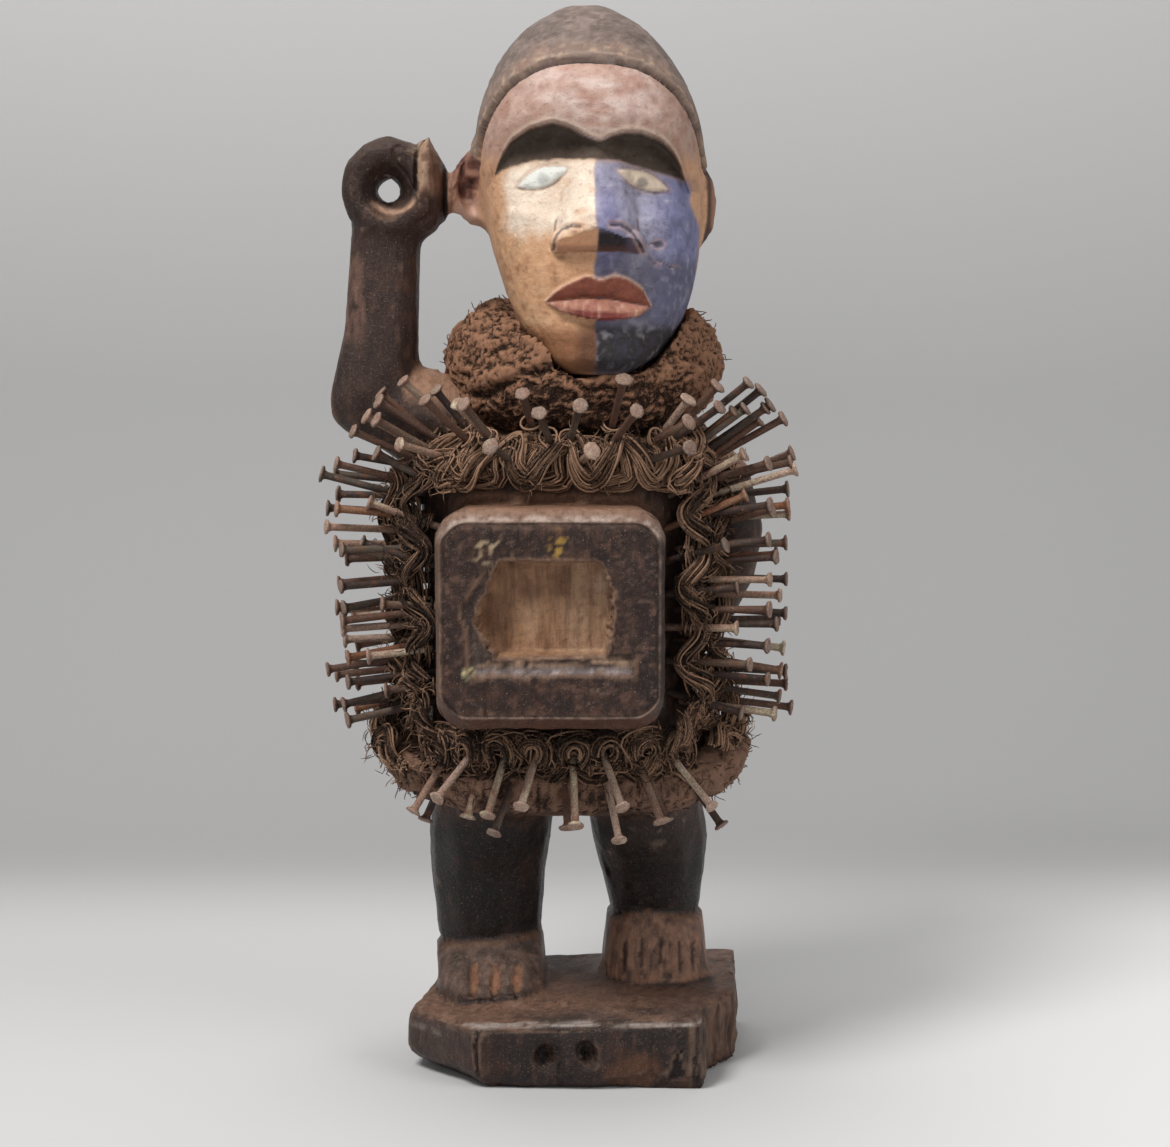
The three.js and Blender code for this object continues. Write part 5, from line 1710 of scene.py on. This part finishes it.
class Nails:
    """All the nails: those with solids of their own, one piece each, and the rest by zone."""

    TONES = (
        NailTone.BROWN, NailTone.DARK, NailTone.TAN, NailTone.BROWN, NailTone.DARK, NailTone.BROWN,
        NailTone.PALE, NailTone.BROWN, NailTone.DARK, NailTone.TAN, NailTone.ORANGE, NailTone.DARK,
    )

    def __init__(self, sizes: NailSizes = NailSizes()) -> None:
        self.sizes = sizes
        self.material = IronFinish().make()

    def shape(self, seed: float, out: float) -> bmesh.types.BMesh:
        """Spins one nail about Z, its head's top at the origin and its point far below.

        Args:
            seed: What makes it differ from the next.
            out: How far it stands out of the wood.

        Returns:
            The nail in millimetres.
        """
        s = self.sizes
        bm = bmesh.new()
        head = s.head * (1.0 + 0.08 * wobble(seed))
        profile = [
            (0.0, 0.1), (head * 0.62, 0.0), (head * 0.97, -0.25), (head, -0.75), (head * 0.9, -s.thick),
            (s.shank * 1.25, -s.thick - 0.5), (s.shank, -s.thick - 2.0), (s.shank * 0.96, -out * 0.5),
            (s.shank * 1.02, -out), (s.shank * 0.9, -s.length + s.point), (0.0, -s.length),
        ]
        verts = [bm.verts.new((r, 0.0, z)) for r, z in profile]
        edges = [bm.edges.new(pair) for pair in zip(verts, verts[1:])]
        bmesh.ops.spin(
            bm, geom=verts + edges, axis=(0, 0, 1), cent=(0, 0, 0), angle=2 * math.pi,
            steps=s.sides, use_merge=True,
        )
        bmesh.ops.remove_doubles(bm, verts=bm.verts, dist=0.001)
        bmesh.ops.recalc_face_normals(bm, faces=bm.faces)
        for vert in bm.verts:
            angle = math.atan2(vert.co.y, vert.co.x)
            near_head = 1.0 if vert.co.z > -s.thick - 0.1 else 0.35
            swell = 1.0 + near_head * (0.07 * math.sin(2 * angle + 9 * seed) + 0.05 * math.sin(5 * angle + 5 * seed))
            vert.co.x *= swell
            vert.co.y *= swell
            if vert.co.z > -0.5:
                vert.co.z += 0.18 * wobble(seed + 3.1 * angle)
        return bm

    def add(self, whole: bmesh.types.BMesh, place: NailPlace, seed: float, tone: NailTone) -> None:
        """Drives one nail into its place in a group."""
        nail = self.shape(seed, place.out)
        turn = place.aim.to_track_quat("Z", "Y").to_matrix().to_4x4()
        move = Matrix.Translation(place.entry + place.aim * place.out)
        nail.transform(Matrix.Scale(MM, 4) @ move @ turn)
        mesh = bpy.data.meshes.new("nail")
        nail.to_mesh(mesh)
        nail.free()
        rust = np.array(linear(*tone.value)) * (1.0 + 0.18 * wobble(seed + 0.7))
        points = points_of(mesh)
        along = (points - np.array(place.entry)) @ np.array(place.aim)
        colours = np.tile(rust, (len(points), 1))
        flat = ease(place.out - 1.2, place.out - 0.4, along)[:, None]
        colours += flat * 0.55 * (np.array(linear(*NailTone.PALE.value)) - colours)
        # Painted shade: each shank is darker towards the wood, where it is buried among the cords.
        colours *= (0.55 + 0.45 * ease(2.0, 20.0, along))[:, None]
        chalk = ease(0.25, 0.7, grain(points + 40.0 * seed, 5.0, 81, 2)) * ease(8.0, 14.0, along)
        chalk *= 0.75 if tone in (NailTone.TAN, NailTone.PALE) else 0.15
        colours += chalk[:, None] * (np.array(linear(214, 204, 176)) - colours)
        write_colours(mesh, "paint", colours)
        whole.from_mesh(mesh)
        bpy.data.meshes.remove(mesh)

    def group(self, rows: Iterable[NailRow], name: str, own: bool = False) -> None:
        """Builds the nails of some rows that have no solids of their own as one piece.

        Args:
            rows: The rows.
            name: The piece's name.
            own: Whether nails with their own solids are taken too.
        """
        bm = bmesh.new()
        for row in rows:
            for i in range(0 if own else row.own, row.count):
                seed = 5.1 * i + 7.7 * len(row.zone) + 0.37 * row.degrees[0]
                self.add(bm, row.place(i), seed, self.tone(seed))
        if len(bm.verts):
            dressed(name, finished(bm, name), self.material, "iron")

    def tone(self, seed: float) -> NailTone:
        """A nail's shade of rust."""
        return self.TONES[int(abs(seed) * 7.3) % len(self.TONES)]

    def dress(self) -> None:
        """Builds every nail that has a solid as a piece of its own."""
        for row in NAIL_ROWS:
            for i in range(row.own):
                seed = 3.7 * i + 11.3 * len(row.zone) + row.count
                bm = bmesh.new()
                tone = (NailTone.TAN, NailTone.PALE)[i % 2] if row.zone == "belly" else self.tone(seed)
                self.add(bm, row.place(i), seed, tone)
                name = f"{row.zone}_nail_{i + 1}"
                dressed(name + "_iron", finished(bm, name), self.material, "iron", name)


# The cords


@dataclass(frozen=True)
class RopeSizes:
    """How a bundle of cord is made up: its strands, their twist, and the loops and loose ends with it."""

    strands: int = 22
    thick: float = 0.52
    pitch: float = 110.0
    step: float = 2.8
    loose: int = 260
    loop: float = 3.0
    rings: int = 4
    dome: int = 0
    # lift paints light and shade into the strands' tone: above 0 lighter as painted light, below 0 darker as painted
    # shade.
    lift: float = 0.0


def coil(place: NailPlace, wide: float, turns: float, low: float, high: float, seed: float) -> Array:
    """A strand wound round a nail.

    Args:
        place: The nail.
        wide: How far from the nail's axis it runs, in millimetres.
        turns: How often it goes round.
        low: How far out of the skin it starts.
        high: How far out of the skin it ends.
        seed: What makes it differ from the next.

    Returns:
        The strand's points.
    """
    aim = np.array(place.aim)
    side = np.cross(aim, (0.0, 0.0, 1.0))
    side /= np.linalg.norm(side)
    up = np.cross(side, aim)
    t = np.linspace(0.0, 1.0, int(14 * turns) + 4)
    turn = 2 * math.pi * turns * t + 3.0 * wobble(seed)
    reach = wide * (1.0 + 0.18 * np.sin(3.1 * turn / 2 + 7 * seed)) + 0.8 * np.sin(9.0 * t + 5 * seed)
    rise = low + (high - low) * (t + 0.1 * np.sin(turn))
    ring = reach[:, None] * (np.cos(turn)[:, None] * side + np.sin(turn)[:, None] * up)
    return np.array(place.entry) + rise[:, None] * aim + ring


def dome(place: NailPlace, count: int, seed: float) -> list[Array]:
    """The skein bound over a hanging nail: arcs inside arcs, open below, bulging out where it is hit.

    Args:
        place: The nail.
        count: How many strands cross it.
        seed: What makes it differ from the next.

    Returns:
        One route for each strand.
    """
    out = np.array(place.aim) * (1.0, 1.0, 0.0)
    out /= np.linalg.norm(out)
    side = np.array((-out[1], out[0], 0.0))
    middle = np.array(place.entry) + 4.0 * out + (0.0, 0.0, -2.0)
    tilt = 0.5 * wobble(seed)
    routes = []
    for k in range(count):
        share = k / (count - 1)
        wide = 2.6 + 7.9 * share + 0.4 * wobble(seed + k)
        turn = np.linspace(-0.75, math.pi + 0.75, 13) + tilt + 0.2 * wobble(k + 2 * seed)
        reach = wide * (1.0 + 0.08 * np.sin(2.3 * turn + 5.0 * k))
        bulge = 10.5 * math.sqrt(1.0 - (0.93 * share) ** 2) + 1.2 * wobble(3.0 * k + seed)
        ring = 1.05 * np.cos(turn)[:, None] * side + np.sin(turn)[:, None] * np.array((0.0, 0.0, 1.0))
        fall = np.clip(-np.sin(turn), 0.0, 1.0)[:, None] * (0.25 * wide * np.array((0.0, 0.0, -1.0)) - 2.0 * out)
        routes.append(middle + bulge * out + reach[:, None] * ring + fall)
    return routes


def curls(roots: Array, ways: Array, length: float, curl: float, seed: int, steps: int = 7) -> list[Array]:
    """Loose ends of fibre, each wandering away from its root.

    Args:
        roots: Where they start, in millimetres.
        ways: The way each sets out.
        length: About how long they are.
        curl: How strongly they bend at each step.
        seed: Which of many such tufts is meant.
        steps: How many straight bits each has.

    Returns:
        One route for each.
    """
    rng = np.random.default_rng(seed)
    at = roots - 0.6 * ways
    way = ways + curl * rng.normal(size=roots.shape)
    reach = length / steps * rng.uniform(0.5, 1.4, size=(len(roots), 1))
    turn = rng.normal(size=roots.shape)
    found = [at]
    for _ in range(steps):
        way = way / np.linalg.norm(way, axis=1)[:, None]
        at = at + reach * way
        found.append(at)
        way = way + curl * (0.8 * turn + 0.6 * rng.normal(size=roots.shape)) - 0.25 * curl * ways
    return list(np.stack(found, axis=1))


class Lashing:
    """One cord laid over the torso: a loose bundle of strands along the solid's route, looped round nails."""

    def __init__(
        self,
        name: str,
        run: Run,
        fused: Sequence[str],
        looped: Sequence[str],
        sizes: RopeSizes = RopeSizes(),
        weaves: Sequence[Weave] = (),
    ) -> None:
        self.weaves = weaves
        self.name = name
        self.run = run
        self.fused = fused
        self.looped = looped
        self.sizes = sizes

    def centre(self) -> Array:
        """The route in even steps, smooth through its points."""
        knots = np.array([tuple(p) for p in self.run.points()])
        knots = np.vstack([2 * knots[0] - knots[1], knots, 2 * knots[-1] - knots[-2]])
        found = []
        for k in range(1, len(knots) - 2):
            a, b, c, d = knots[k - 1 : k + 3]
            count = max(3, int(np.linalg.norm(c - b) / self.sizes.step))
            t = (np.arange(count) / count)[:, None]
            bend = (2 * a - 5 * b + 4 * c - d) * t**2 + (3 * b - a - 3 * c + d) * t**3
            found.append(0.5 * (2 * b + (c - a) * t + bend))
        return np.vstack([*found, knots[-2:-1]])

    def frames(self, line: Array) -> tuple[Array, Array]:
        """The ways out of the torso and along its skin at each step of a route."""
        ahead = np.gradient(line, axis=0)
        ahead /= np.maximum(np.linalg.norm(ahead, axis=1), 1e-6)[:, None]
        out = (line - (-6.0, 0.0, 0.0)) * (1.0, 1.0, 0.0)
        out /= np.linalg.norm(out, axis=1)[:, None]
        side = np.cross(ahead, out)
        side /= np.maximum(np.linalg.norm(side, axis=1), 1e-6)[:, None]
        return np.cross(side, ahead), side

    def strands(self, line: Array, radius: float, count: int, pitch: float, seed: int) -> list[Array]:
        """The strands' own routes, loosely twisted round a bundle's.

        Args:
            line: The bundle's route.
            radius: The bundle's radius in millimetres.
            count: How many strands it has.
            pitch: How long one turn of its twist is.
            seed: What makes it differ from the next.

        Returns:
            One route for each strand.
        """
        up, side = self.frames(line)
        along = np.concatenate([[0.0], np.cumsum(np.linalg.norm(np.diff(line, axis=0), axis=1))])
        routes = []
        for k in range(count):
            turn = 2 * math.pi * (along / pitch + 0.618 * k) + 0.4 * np.sin(along / 21.0 + k)
            ring = math.sqrt((k + 0.6) / count) + 0.08 * np.sin(along / (7.0 + k % 5) + 2.1 * k)
            spread = radius * (1.0 + 0.18 * np.sin(along / 9.0 + seed))
            across = spread * ring * np.cos(turn) + 0.7 * grain(line + 60.0 * k, 14.0, seed + k, 2)
            high = 0.8 * spread * ring * np.sin(turn) + 0.6 * grain(line - 50.0 * k, 12.0, seed - k, 1)
            routes.append(line + across[:, None] * side + high[:, None] * up)
        return routes

    def loops(self) -> list[Array]:
        """The strands wound round the nails."""
        routes = []
        size = self.sizes
        for row in (*NAIL_ROWS, *MORE_ROWS):
            if row.zone not in self.looped:
                continue
            for i in range(row.count):
                place = row.place(i)
                if size.dome:
                    routes += dome(place, size.dome, i + 0.5)
                    continue
                for k in range(size.rings):
                    seed = i + 0.31 * k + 0.17 * len(row.zone)
                    low = 6.0 + 8.0 * k / size.rings + 0.8 * wobble(seed)
                    wide = size.loop + 0.7 * (k % 3) + 0.5 * wobble(seed + 0.9)
                    turns = 1.2 + 0.4 * wobble(seed + 0.2)
                    routes.append(coil(place, wide, turns, low, low + 2.0 + wobble(seed + 0.6), seed))
        return routes

    def dress(self, material: bpy.types.Material, nails: Nails) -> None:
        """Links the cord, and the group of nails that are fused to it in the solid."""
        line = self.centre()
        size = self.sizes
        routes = self.strands(line, 1.1 * self.run.radius, size.strands, size.pitch, 5)
        tufts = self.tufts(line, size.loose)
        for k, weave in enumerate(self.weaves):
            path = weave.line()
            routes += self.strands(path, weave.radius, weave.strands, weave.pitch, 40 + 9 * k)
            tufts += self.tufts(path, size.loose // 3)
        mesh = joined_meshes(
            tubes(routes, size.thick, 1, lift=size.lift),
            tubes(self.loops(), 1.1 * size.thick, 1, lift=size.lift),
            tubes(tufts, 0.24, 1, 0.3),
        )
        dressed(self.name + "_strands", mesh, material, "cord", self.name)
        nails.group([row for row in NAIL_ROWS if row.zone in self.fused], self.name + "_nails")

    def tufts(self, line: Array, count: int) -> list[Array]:
        """The frayed ends that stand out of a bundle."""
        rng = np.random.default_rng(len(self.name) + len(line))
        picked = rng.integers(0, len(line), count)
        up, side = self.frames(line)
        spread = rng.normal(size=(count, 2))
        ways = up[picked] * (0.25 + 0.6 * np.abs(spread[:, :1])) + side[picked] * spread[:, 1:]
        ways /= np.linalg.norm(ways, axis=1)[:, None]
        roots = line[picked] + self.run.radius * 0.8 * ways + rng.normal(size=(count, 3))
        return curls(roots, ways, 7.0, 0.6, len(self.name) + 3, 4)


def joined_meshes(*meshes: bpy.types.Mesh) -> bpy.types.Mesh:
    """Puts several meshes together in one."""
    bm = bmesh.new()
    for mesh in meshes:
        bm.from_mesh(mesh)
        bpy.data.meshes.remove(mesh)
    return finished(bm, "joined")


def tubes(
    routes: Iterable[Array], radius: float, sides: int = 2, taper: float = 1.0, lift: float = 0.0,
) -> bpy.types.Mesh:
    """Draws round tubes along routes.

    Args:
        routes: One array of points in millimetres for each tube.
        radius: The tubes' radius in millimetres.
        sides: How finely they are rounded.
        taper: How thick the ends are beside the middle.
        lift: How much lighter they are painted than plain cord: painted light above 0, painted shade below.

    Returns:
        One mesh with all the tubes.
    """
    routes = list(routes)
    if not routes:
        return bpy.data.meshes.new("none")
    curve = bpy.data.curves.new("routes", "CURVE")
    curve.dimensions = "3D"
    curve.bevel_depth = radius * MM
    curve.bevel_resolution = sides - 1
    curve.use_fill_caps = True
    for k, route in enumerate(routes):
        spline = curve.splines.new("POLY")
        spline.points.add(len(route) - 1)
        full = np.concatenate([route * MM, np.ones((len(route), 1))], axis=1)
        spline.points.foreach_set("co", full.astype(np.float32).ravel())
        share = np.linspace(-1.0, 1.0, len(route))
        thick = (taper + (1.0 - taper) * (1.0 - share**2)) * (1.0 + 0.15 * wobble(k + 0.5))
        spline.points.foreach_set("radius", thick.astype(np.float32))
    piece = bpy.data.objects.new("routes", curve)
    bpy.context.scene.collection.objects.link(piece)
    mesh = settled(piece, "tubes")
    bpy.data.curves.remove(curve)
    mesh.polygons.foreach_set("use_smooth", np.ones(len(mesh.polygons), bool))
    share = len(mesh.vertices) // sum(len(route) for route in routes)
    # Each tube's tone: the lift's painted light and shade, with a random spread.
    each = np.clip([0.42 + lift + 0.6 * wobble(1.7 * k + 0.4) for k in range(len(routes))], 0.0, 1.0)
    tones = np.repeat(each, [len(r) * share for r in routes])
    write_numbers(mesh, "tone", np.resize(tones, len(mesh.vertices)))
    write_numbers(mesh, "crust", np.full(len(mesh.vertices), 0.5))
    return mesh


FLANK_ROPE = RopeSizes(20, loose=330)
# The chest cord's lift is painted light; the left flank's and the belly's are painted shade.
LASHINGS = (
    Lashing(
        "chest_cord", CHEST_RUN, (), ("chest", "chest_high", "left_crown", "right_crown"), RopeSizes(rings=3, lift=0.3),
        (
            Weave((293, -52), (293, 50), (9.5, 0), 4.5, 11.0, 4.6, 24),
            Weave((304, -58), (282, -36), (3.0, 4.0), 2.0, 14.0, 4.2, 18),
            Weave((304, 58), (282, 42), (3.0, 4.0), 2.0, 14.0, 4.2, 18),
        ),
    ),
    Lashing(
        "left_flank_cord", LEFT_RUN, ("left_side", "left_rear", "left_shoulder"),
        ("left_flank", "left_side", "left_front", "left_shoulder"), RopeSizes(20, loose=330, lift=-0.2),
        (
            Weave((294, -56), (186, -56), (0, 7.0), 3.1, 14.0, 5.0, 24),
            Weave((288, -73), (160, -76), (2.5, 8.5), 2.7, 16.0, 4.6, 20),
            Weave((282, -93), (160, -92), (2.5, 7.0), 3.3, 13.0, 4.2, 16),
            Weave((168, -112), (150, -52), (6.5, 0), 3.0, 22.0, 5.4, 22),
        ),
    ),
    Lashing(
        "right_flank_cord", RIGHT_RUN, ("right_side", "right_rear", "right_shoulder"),
        ("right_flank", "right_side", "right_front", "right_high", "right_shoulder"), FLANK_ROPE,
        (
            Weave((294, 53), (176, 51), (0, 6.5), 3.4, 14.0, 4.8, 24),
            Weave((290, 70), (160, 69), (2.5, 8.0), 2.8, 16.5, 4.6, 20),
            Weave((176, 52), (150, 26), (1.5, 0), 1.0, 13.0, 4.8, 26, 34.0),
            Weave((170, 108), (158, 52), (5.0, 0), 2.5, 18.0, 4.4, 18),
        ),
    ),
    Lashing("back_cord", BACK_RUN, ("back",), (), RopeSizes(18, loose=120)),
    Lashing(
        "belly_cord", BELLY_RUN, (), ("belly",), RopeSizes(16, loose=330, dome=20, lift=-0.3),
        (
            Weave((192, -58), (152, -42), (0.5, 1.0), 1.0, 15.0, 4.8, 26, 30.0),
            Weave((148, -56), (147, 50), (3.5, 0), 6.0, 9.0, 4.0, 14),
        ),
    ),
)


# Roll and wrap


class Matting:
    """A soft ring of matted fibre over one of the solids, with loose fibres standing out of it."""

    def __init__(self, node: str, slot: str, fill: float, finish: FibreFinish, voxel: float, loose: int) -> None:
        self.node = node
        self.slot = slot
        self.fill = fill
        self.finish = finish
        self.voxel = voxel
        self.loose = loose

    def proud(self, points: Array) -> Array:
        """How far the matting swells or sinks at each point."""
        raise NotImplementedError

    def shade(self, points: Array) -> Array:
        """How much lighter the matting is at each point."""
        return 0.2 * grain(points, 20.0, 38, 2)

    def tufts(self, mesh: bpy.types.Mesh, crust: Array) -> bpy.types.Mesh:
        """Draws the loose fibres, each as pale as the crust it lies on."""
        rng = np.random.default_rng(self.loose)
        points, normals = points_of(mesh), normals_of(mesh)
        picked = rng.integers(0, len(points), self.loose)
        lie = np.cross(normals[picked], rng.normal(size=(len(picked), 3)))
        ways = 0.02 * normals[picked] + lie / np.maximum(np.linalg.norm(lie, axis=1), 1e-6)[:, None]
        ways /= np.linalg.norm(ways, axis=1)[:, None]
        hair = tubes(curls(points[picked], ways, 5.0, 0.9, self.loose, 5), 0.27, 1, 0.5)
        write_numbers(hair, "crust", np.repeat(crust[picked], len(hair.vertices) // len(picked)))
        write_numbers(hair, "tone", np.repeat(0.35 + 0.5 * crust[picked], len(hair.vertices) // len(picked)))
        return hair

    def dress(self) -> bpy.types.Object:
        """Builds, tones and links the matting."""
        mesh = voxel_skin(merged_copy(self.node), self.voxel)
        relax(mesh, 6, 0.5)
        points, normals = points_of(mesh), normals_of(mesh)
        move_points(mesh, points + normals * self.proud(points)[:, None])
        points = points_of(mesh)
        shade = self.shade(points)
        # The tone is painted lighter on bumps and darker in hollows by convexity, as painted light and shade, and then
        # moved by shade().
        write_numbers(mesh, "tone", np.clip(0.47 + 1.2 * convexity(mesh, 3) + shade, 0, 1))
        crust = np.clip(0.5 + 0.5 * ease(-0.4, 0.5, normals[:, 2]) + shade, 0, 1)
        write_numbers(mesh, "crust", crust)
        whole = joined_meshes(mesh, self.tufts(mesh, crust))
        piece = dressed(self.node + "_fibre", whole, self.finish.make(), self.slot, self.node)
        return piece


class NeckRoll(Matting):
    """The thick roll of coarse fibre round the neck, caked with earth and folded over in front."""

    def __init__(self) -> None:
        finish = FibreFinish("earthy fibre", (42, 28, 22), (176, 130, 102), (126, 90, 69), 0.8, 1.7)
        super().__init__("neck_roll", "cloth", 0.6, finish, 1.25, 1000)

    def proud(self, points: Array) -> Array:
        """How far the roll swells or sinks at each point."""
        warp = points + 2.4 * np.stack([grain(points, 8.0, 31 + k, 1) for k in range(3)], axis=1)
        worms = grain(warp * (0.7, 0.7, 1.5), 5.2, 34, 2) - 0.6 * np.abs(grain(warp, 8.0, 39, 1))
        crumbs = 1.0 - np.abs(grain(warp * (0.8, 0.8, 1.3), 2.6, 35, 2)) * 1.8
        x, y, z = points.T
        fold = z - 334.0 - 0.42 * (x + 20.0) - 2.0 * grain(points, 12.0, 36, 1)
        front = ease(-20.0, -38.0, y) * ease(18.0, 4.0, x)
        lip = front * (1.4 * hill(fold - 2.5, 3.5) - 2.0 * hill(fold + 2.4, 2.6))
        grit = grain(points, 1.9, 45, 1)
        return 1.4 * worms + 0.8 * crumbs + 0.55 * grit + 1.6 * grain(points, 18.0, 37, 2) + lip - 0.7

    def shade(self, points: Array) -> Array:
        """Lighter at the shoulders and under the ears, with painted shadow below the chin."""
        x, _, z = points.T
        # Painted shadow below the chin.
        dark = ease(332.0, 322.0, z + 3.0 * grain(points, 14.0, 38, 2)) * ease(60.0, 38.0, np.abs(x - 4.0))
        right = 0.25 * ease(30.0, 50.0, x)
        return 0.02 + right + 0.3 * grain(points, 9.0, 30, 2) + 0.16 * grain(points, 3.4, 46, 2) - 0.55 * dark


class HipWrap(Matting):
    """The matted plant fibre round the hips, its strands hanging down."""

    def __init__(self) -> None:
        finish = FibreFinish("matted fibre", (38, 27, 22), (140, 108, 90), (106, 80, 66), 1.0, 1.2)
        super().__init__("hip_wrap", "fibre", 0.8, finish, 1.6, 900)

    def shade(self, points: Array) -> Array:
        """Redder and lighter over the right hip."""
        sides = 0.5 * ease(30.0, 62.0, points[:, 0]) + 0.25 * ease(-48.0, -66.0, points[:, 0])
        return -0.15 + sides + 0.3 * grain(points, 7.0, 40, 2)

    def proud(self, points: Array) -> Array:
        """How far the wrap swells or sinks at each point."""
        hang = points * (1.0, 1.0, 0.4)
        clumps = 2.8 * grain(points * (1.0, 1.0, 0.8), 17.0, 43, 2) - 2.6 * np.abs(grain(hang, 11.0, 44, 1))
        x, _, z = points.T
        slack = 5.0 * ease(44.0, 84.0, np.abs(x + 6.0)) * ease(158.0, 138.0, z)
        return 1.3 * (0.4 - np.abs(grain(hang, 3.6, 41, 2))) + clumps - slack


# The studio


class Studio:
    """A pale floor that rises into a grey backdrop, both with painted light, soft light, and the photograph's view."""

    def backdrop(self) -> None:
        """Draws the floor and the wall behind it as one sweep."""
        bm = bmesh.new()
        bmesh.ops.create_grid(bm, x_segments=1, y_segments=1, size=1.0)
        for vert in bm.verts:
            vert.co = Vector((vert.co.x * 4.0, -2.5 if vert.co.y < 0 else 0.42, 0.0))
        edge = [e for e in bm.edges if all(v.co.y > 0 for v in e.verts)]
        geom = edge + list(edge[0].verts)
        bent = bmesh.ops.spin(bm, geom=geom, axis=(1, 0, 0), cent=(0, 0.42, 0.3), angle=math.pi / 2, steps=24)
        last = [g for g in bent["geom_last"] if isinstance(g, bmesh.types.BMEdge)]
        risen = bmesh.ops.extrude_edge_only(bm, edges=last)["geom"]
        for vert in risen:
            if isinstance(vert, bmesh.types.BMVert):
                vert.co.z += 2.2
        bm.faces.ensure_lookup_table()
        bm.normal_update()
        low = min(bm.faces, key=lambda face: face.calc_center_median().z)
        if low.normal.z < 0:
            bmesh.ops.reverse_faces(bm, faces=bm.faces)
        mesh = finished(bm, "backdrop")
        n = Nodes("studio paper")
        split = n.add("ShaderNodeSeparateXYZ")
        n.feed(n.place, split.inputs[0])
        # Painted light on the stage: the wall darker low and lighter high, as light falling off, and the floor lighter
        # towards the right, against the shade there.
        wall = n.mixed(n.between(split.outputs["Z"], 0.02, 0.9), linear(157, 157, 158), linear(187, 187, 188))
        floor = n.mixed(n.between(split.outputs["X"], -0.05, 0.5), linear(190, 190, 191), linear(224, 224, 224))
        paper_and_painted_light = n.mixed(n.between(split.outputs["Y"], 0.22, 0.5), floor, wall)
        n.feed(paper_and_painted_light, n.shader.inputs["Base Color"])
        n.shader.inputs["Roughness"].default_value = 0.95
        n.clear_behind()
        mesh.materials.append(n.material)
        link("backdrop", mesh)

    def lamp(self, name: str, at: tuple[float, float, float], size: float, power: float, warm: float = 1.0) -> None:
        """Hangs a soft lamp that looks at the figure."""
        light = bpy.data.lights.new(name, "AREA")
        light.shape = "DISK"
        light.size = size
        light.energy = power
        light.color = (1.0, 0.98 * warm, 0.95 * warm)
        lamp = bpy.data.objects.new(name, light)
        lamp.location = at
        lamp.rotation_euler = (Vector((0, 0, 0.28)) - Vector(at)).to_track_quat("-Z", "Y").to_euler()
        bpy.context.scene.collection.objects.link(lamp)

    def build(self) -> None:
        """Sets the stage, the lamps, the sky's fill and the camera."""
        scene = bpy.context.scene
        self.backdrop()
        self.lamp("key", (-0.65, -0.8, 1.6), 0.6, 28.0)
        self.lamp("front", (-0.2, -2.0, 0.7), 0.8, 4.0)
        self.lamp("fill", (1.3, -0.8, 1.0), 0.9, 7.5)
        self.lamp("top", (-0.1, 0.1, 1.6), 0.6, 6.0)
        world = bpy.data.worlds.new("room")
        world.use_nodes = True
        back = world.node_tree.nodes["Background"]
        back.inputs["Color"].default_value = (0.95, 0.97, 1.0, 1.0)
        back.inputs["Strength"].default_value = 0.26
        scene.world = world
        scene.view_settings.view_transform = "Standard"
        lens = bpy.data.cameras.new("camera")
        lens.lens = 80.83
        lens.sensor_width = 36.0
        camera = bpy.data.objects.new("camera", lens)
        camera.location = (0.0048, -1.25, 0.37)
        camera.rotation_euler = (math.radians(83.84), 0.0, 0.0)
        scene.collection.objects.link(camera)
        scene.camera = camera


def main() -> None:
    """Builds every piece in order."""
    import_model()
    Studio().build()
    FigureSkin().dress()
    nails = Nails()
    nails.dress()
    cord = FibreFinish("old cord", (22, 15, 13), (150, 118, 96), (96, 70, 56), 0.8, 0.25).make()
    for lashing in LASHINGS:
        lashing.dress(cord, nails)
    nails.group(MORE_ROWS, "further_nails", own=True)
    NeckRoll().dress()
    HipWrap().dress()


if __name__ == "__main__":
    logging.basicConfig(level=logging.INFO, format="%(name)s: %(message)s")
    main()
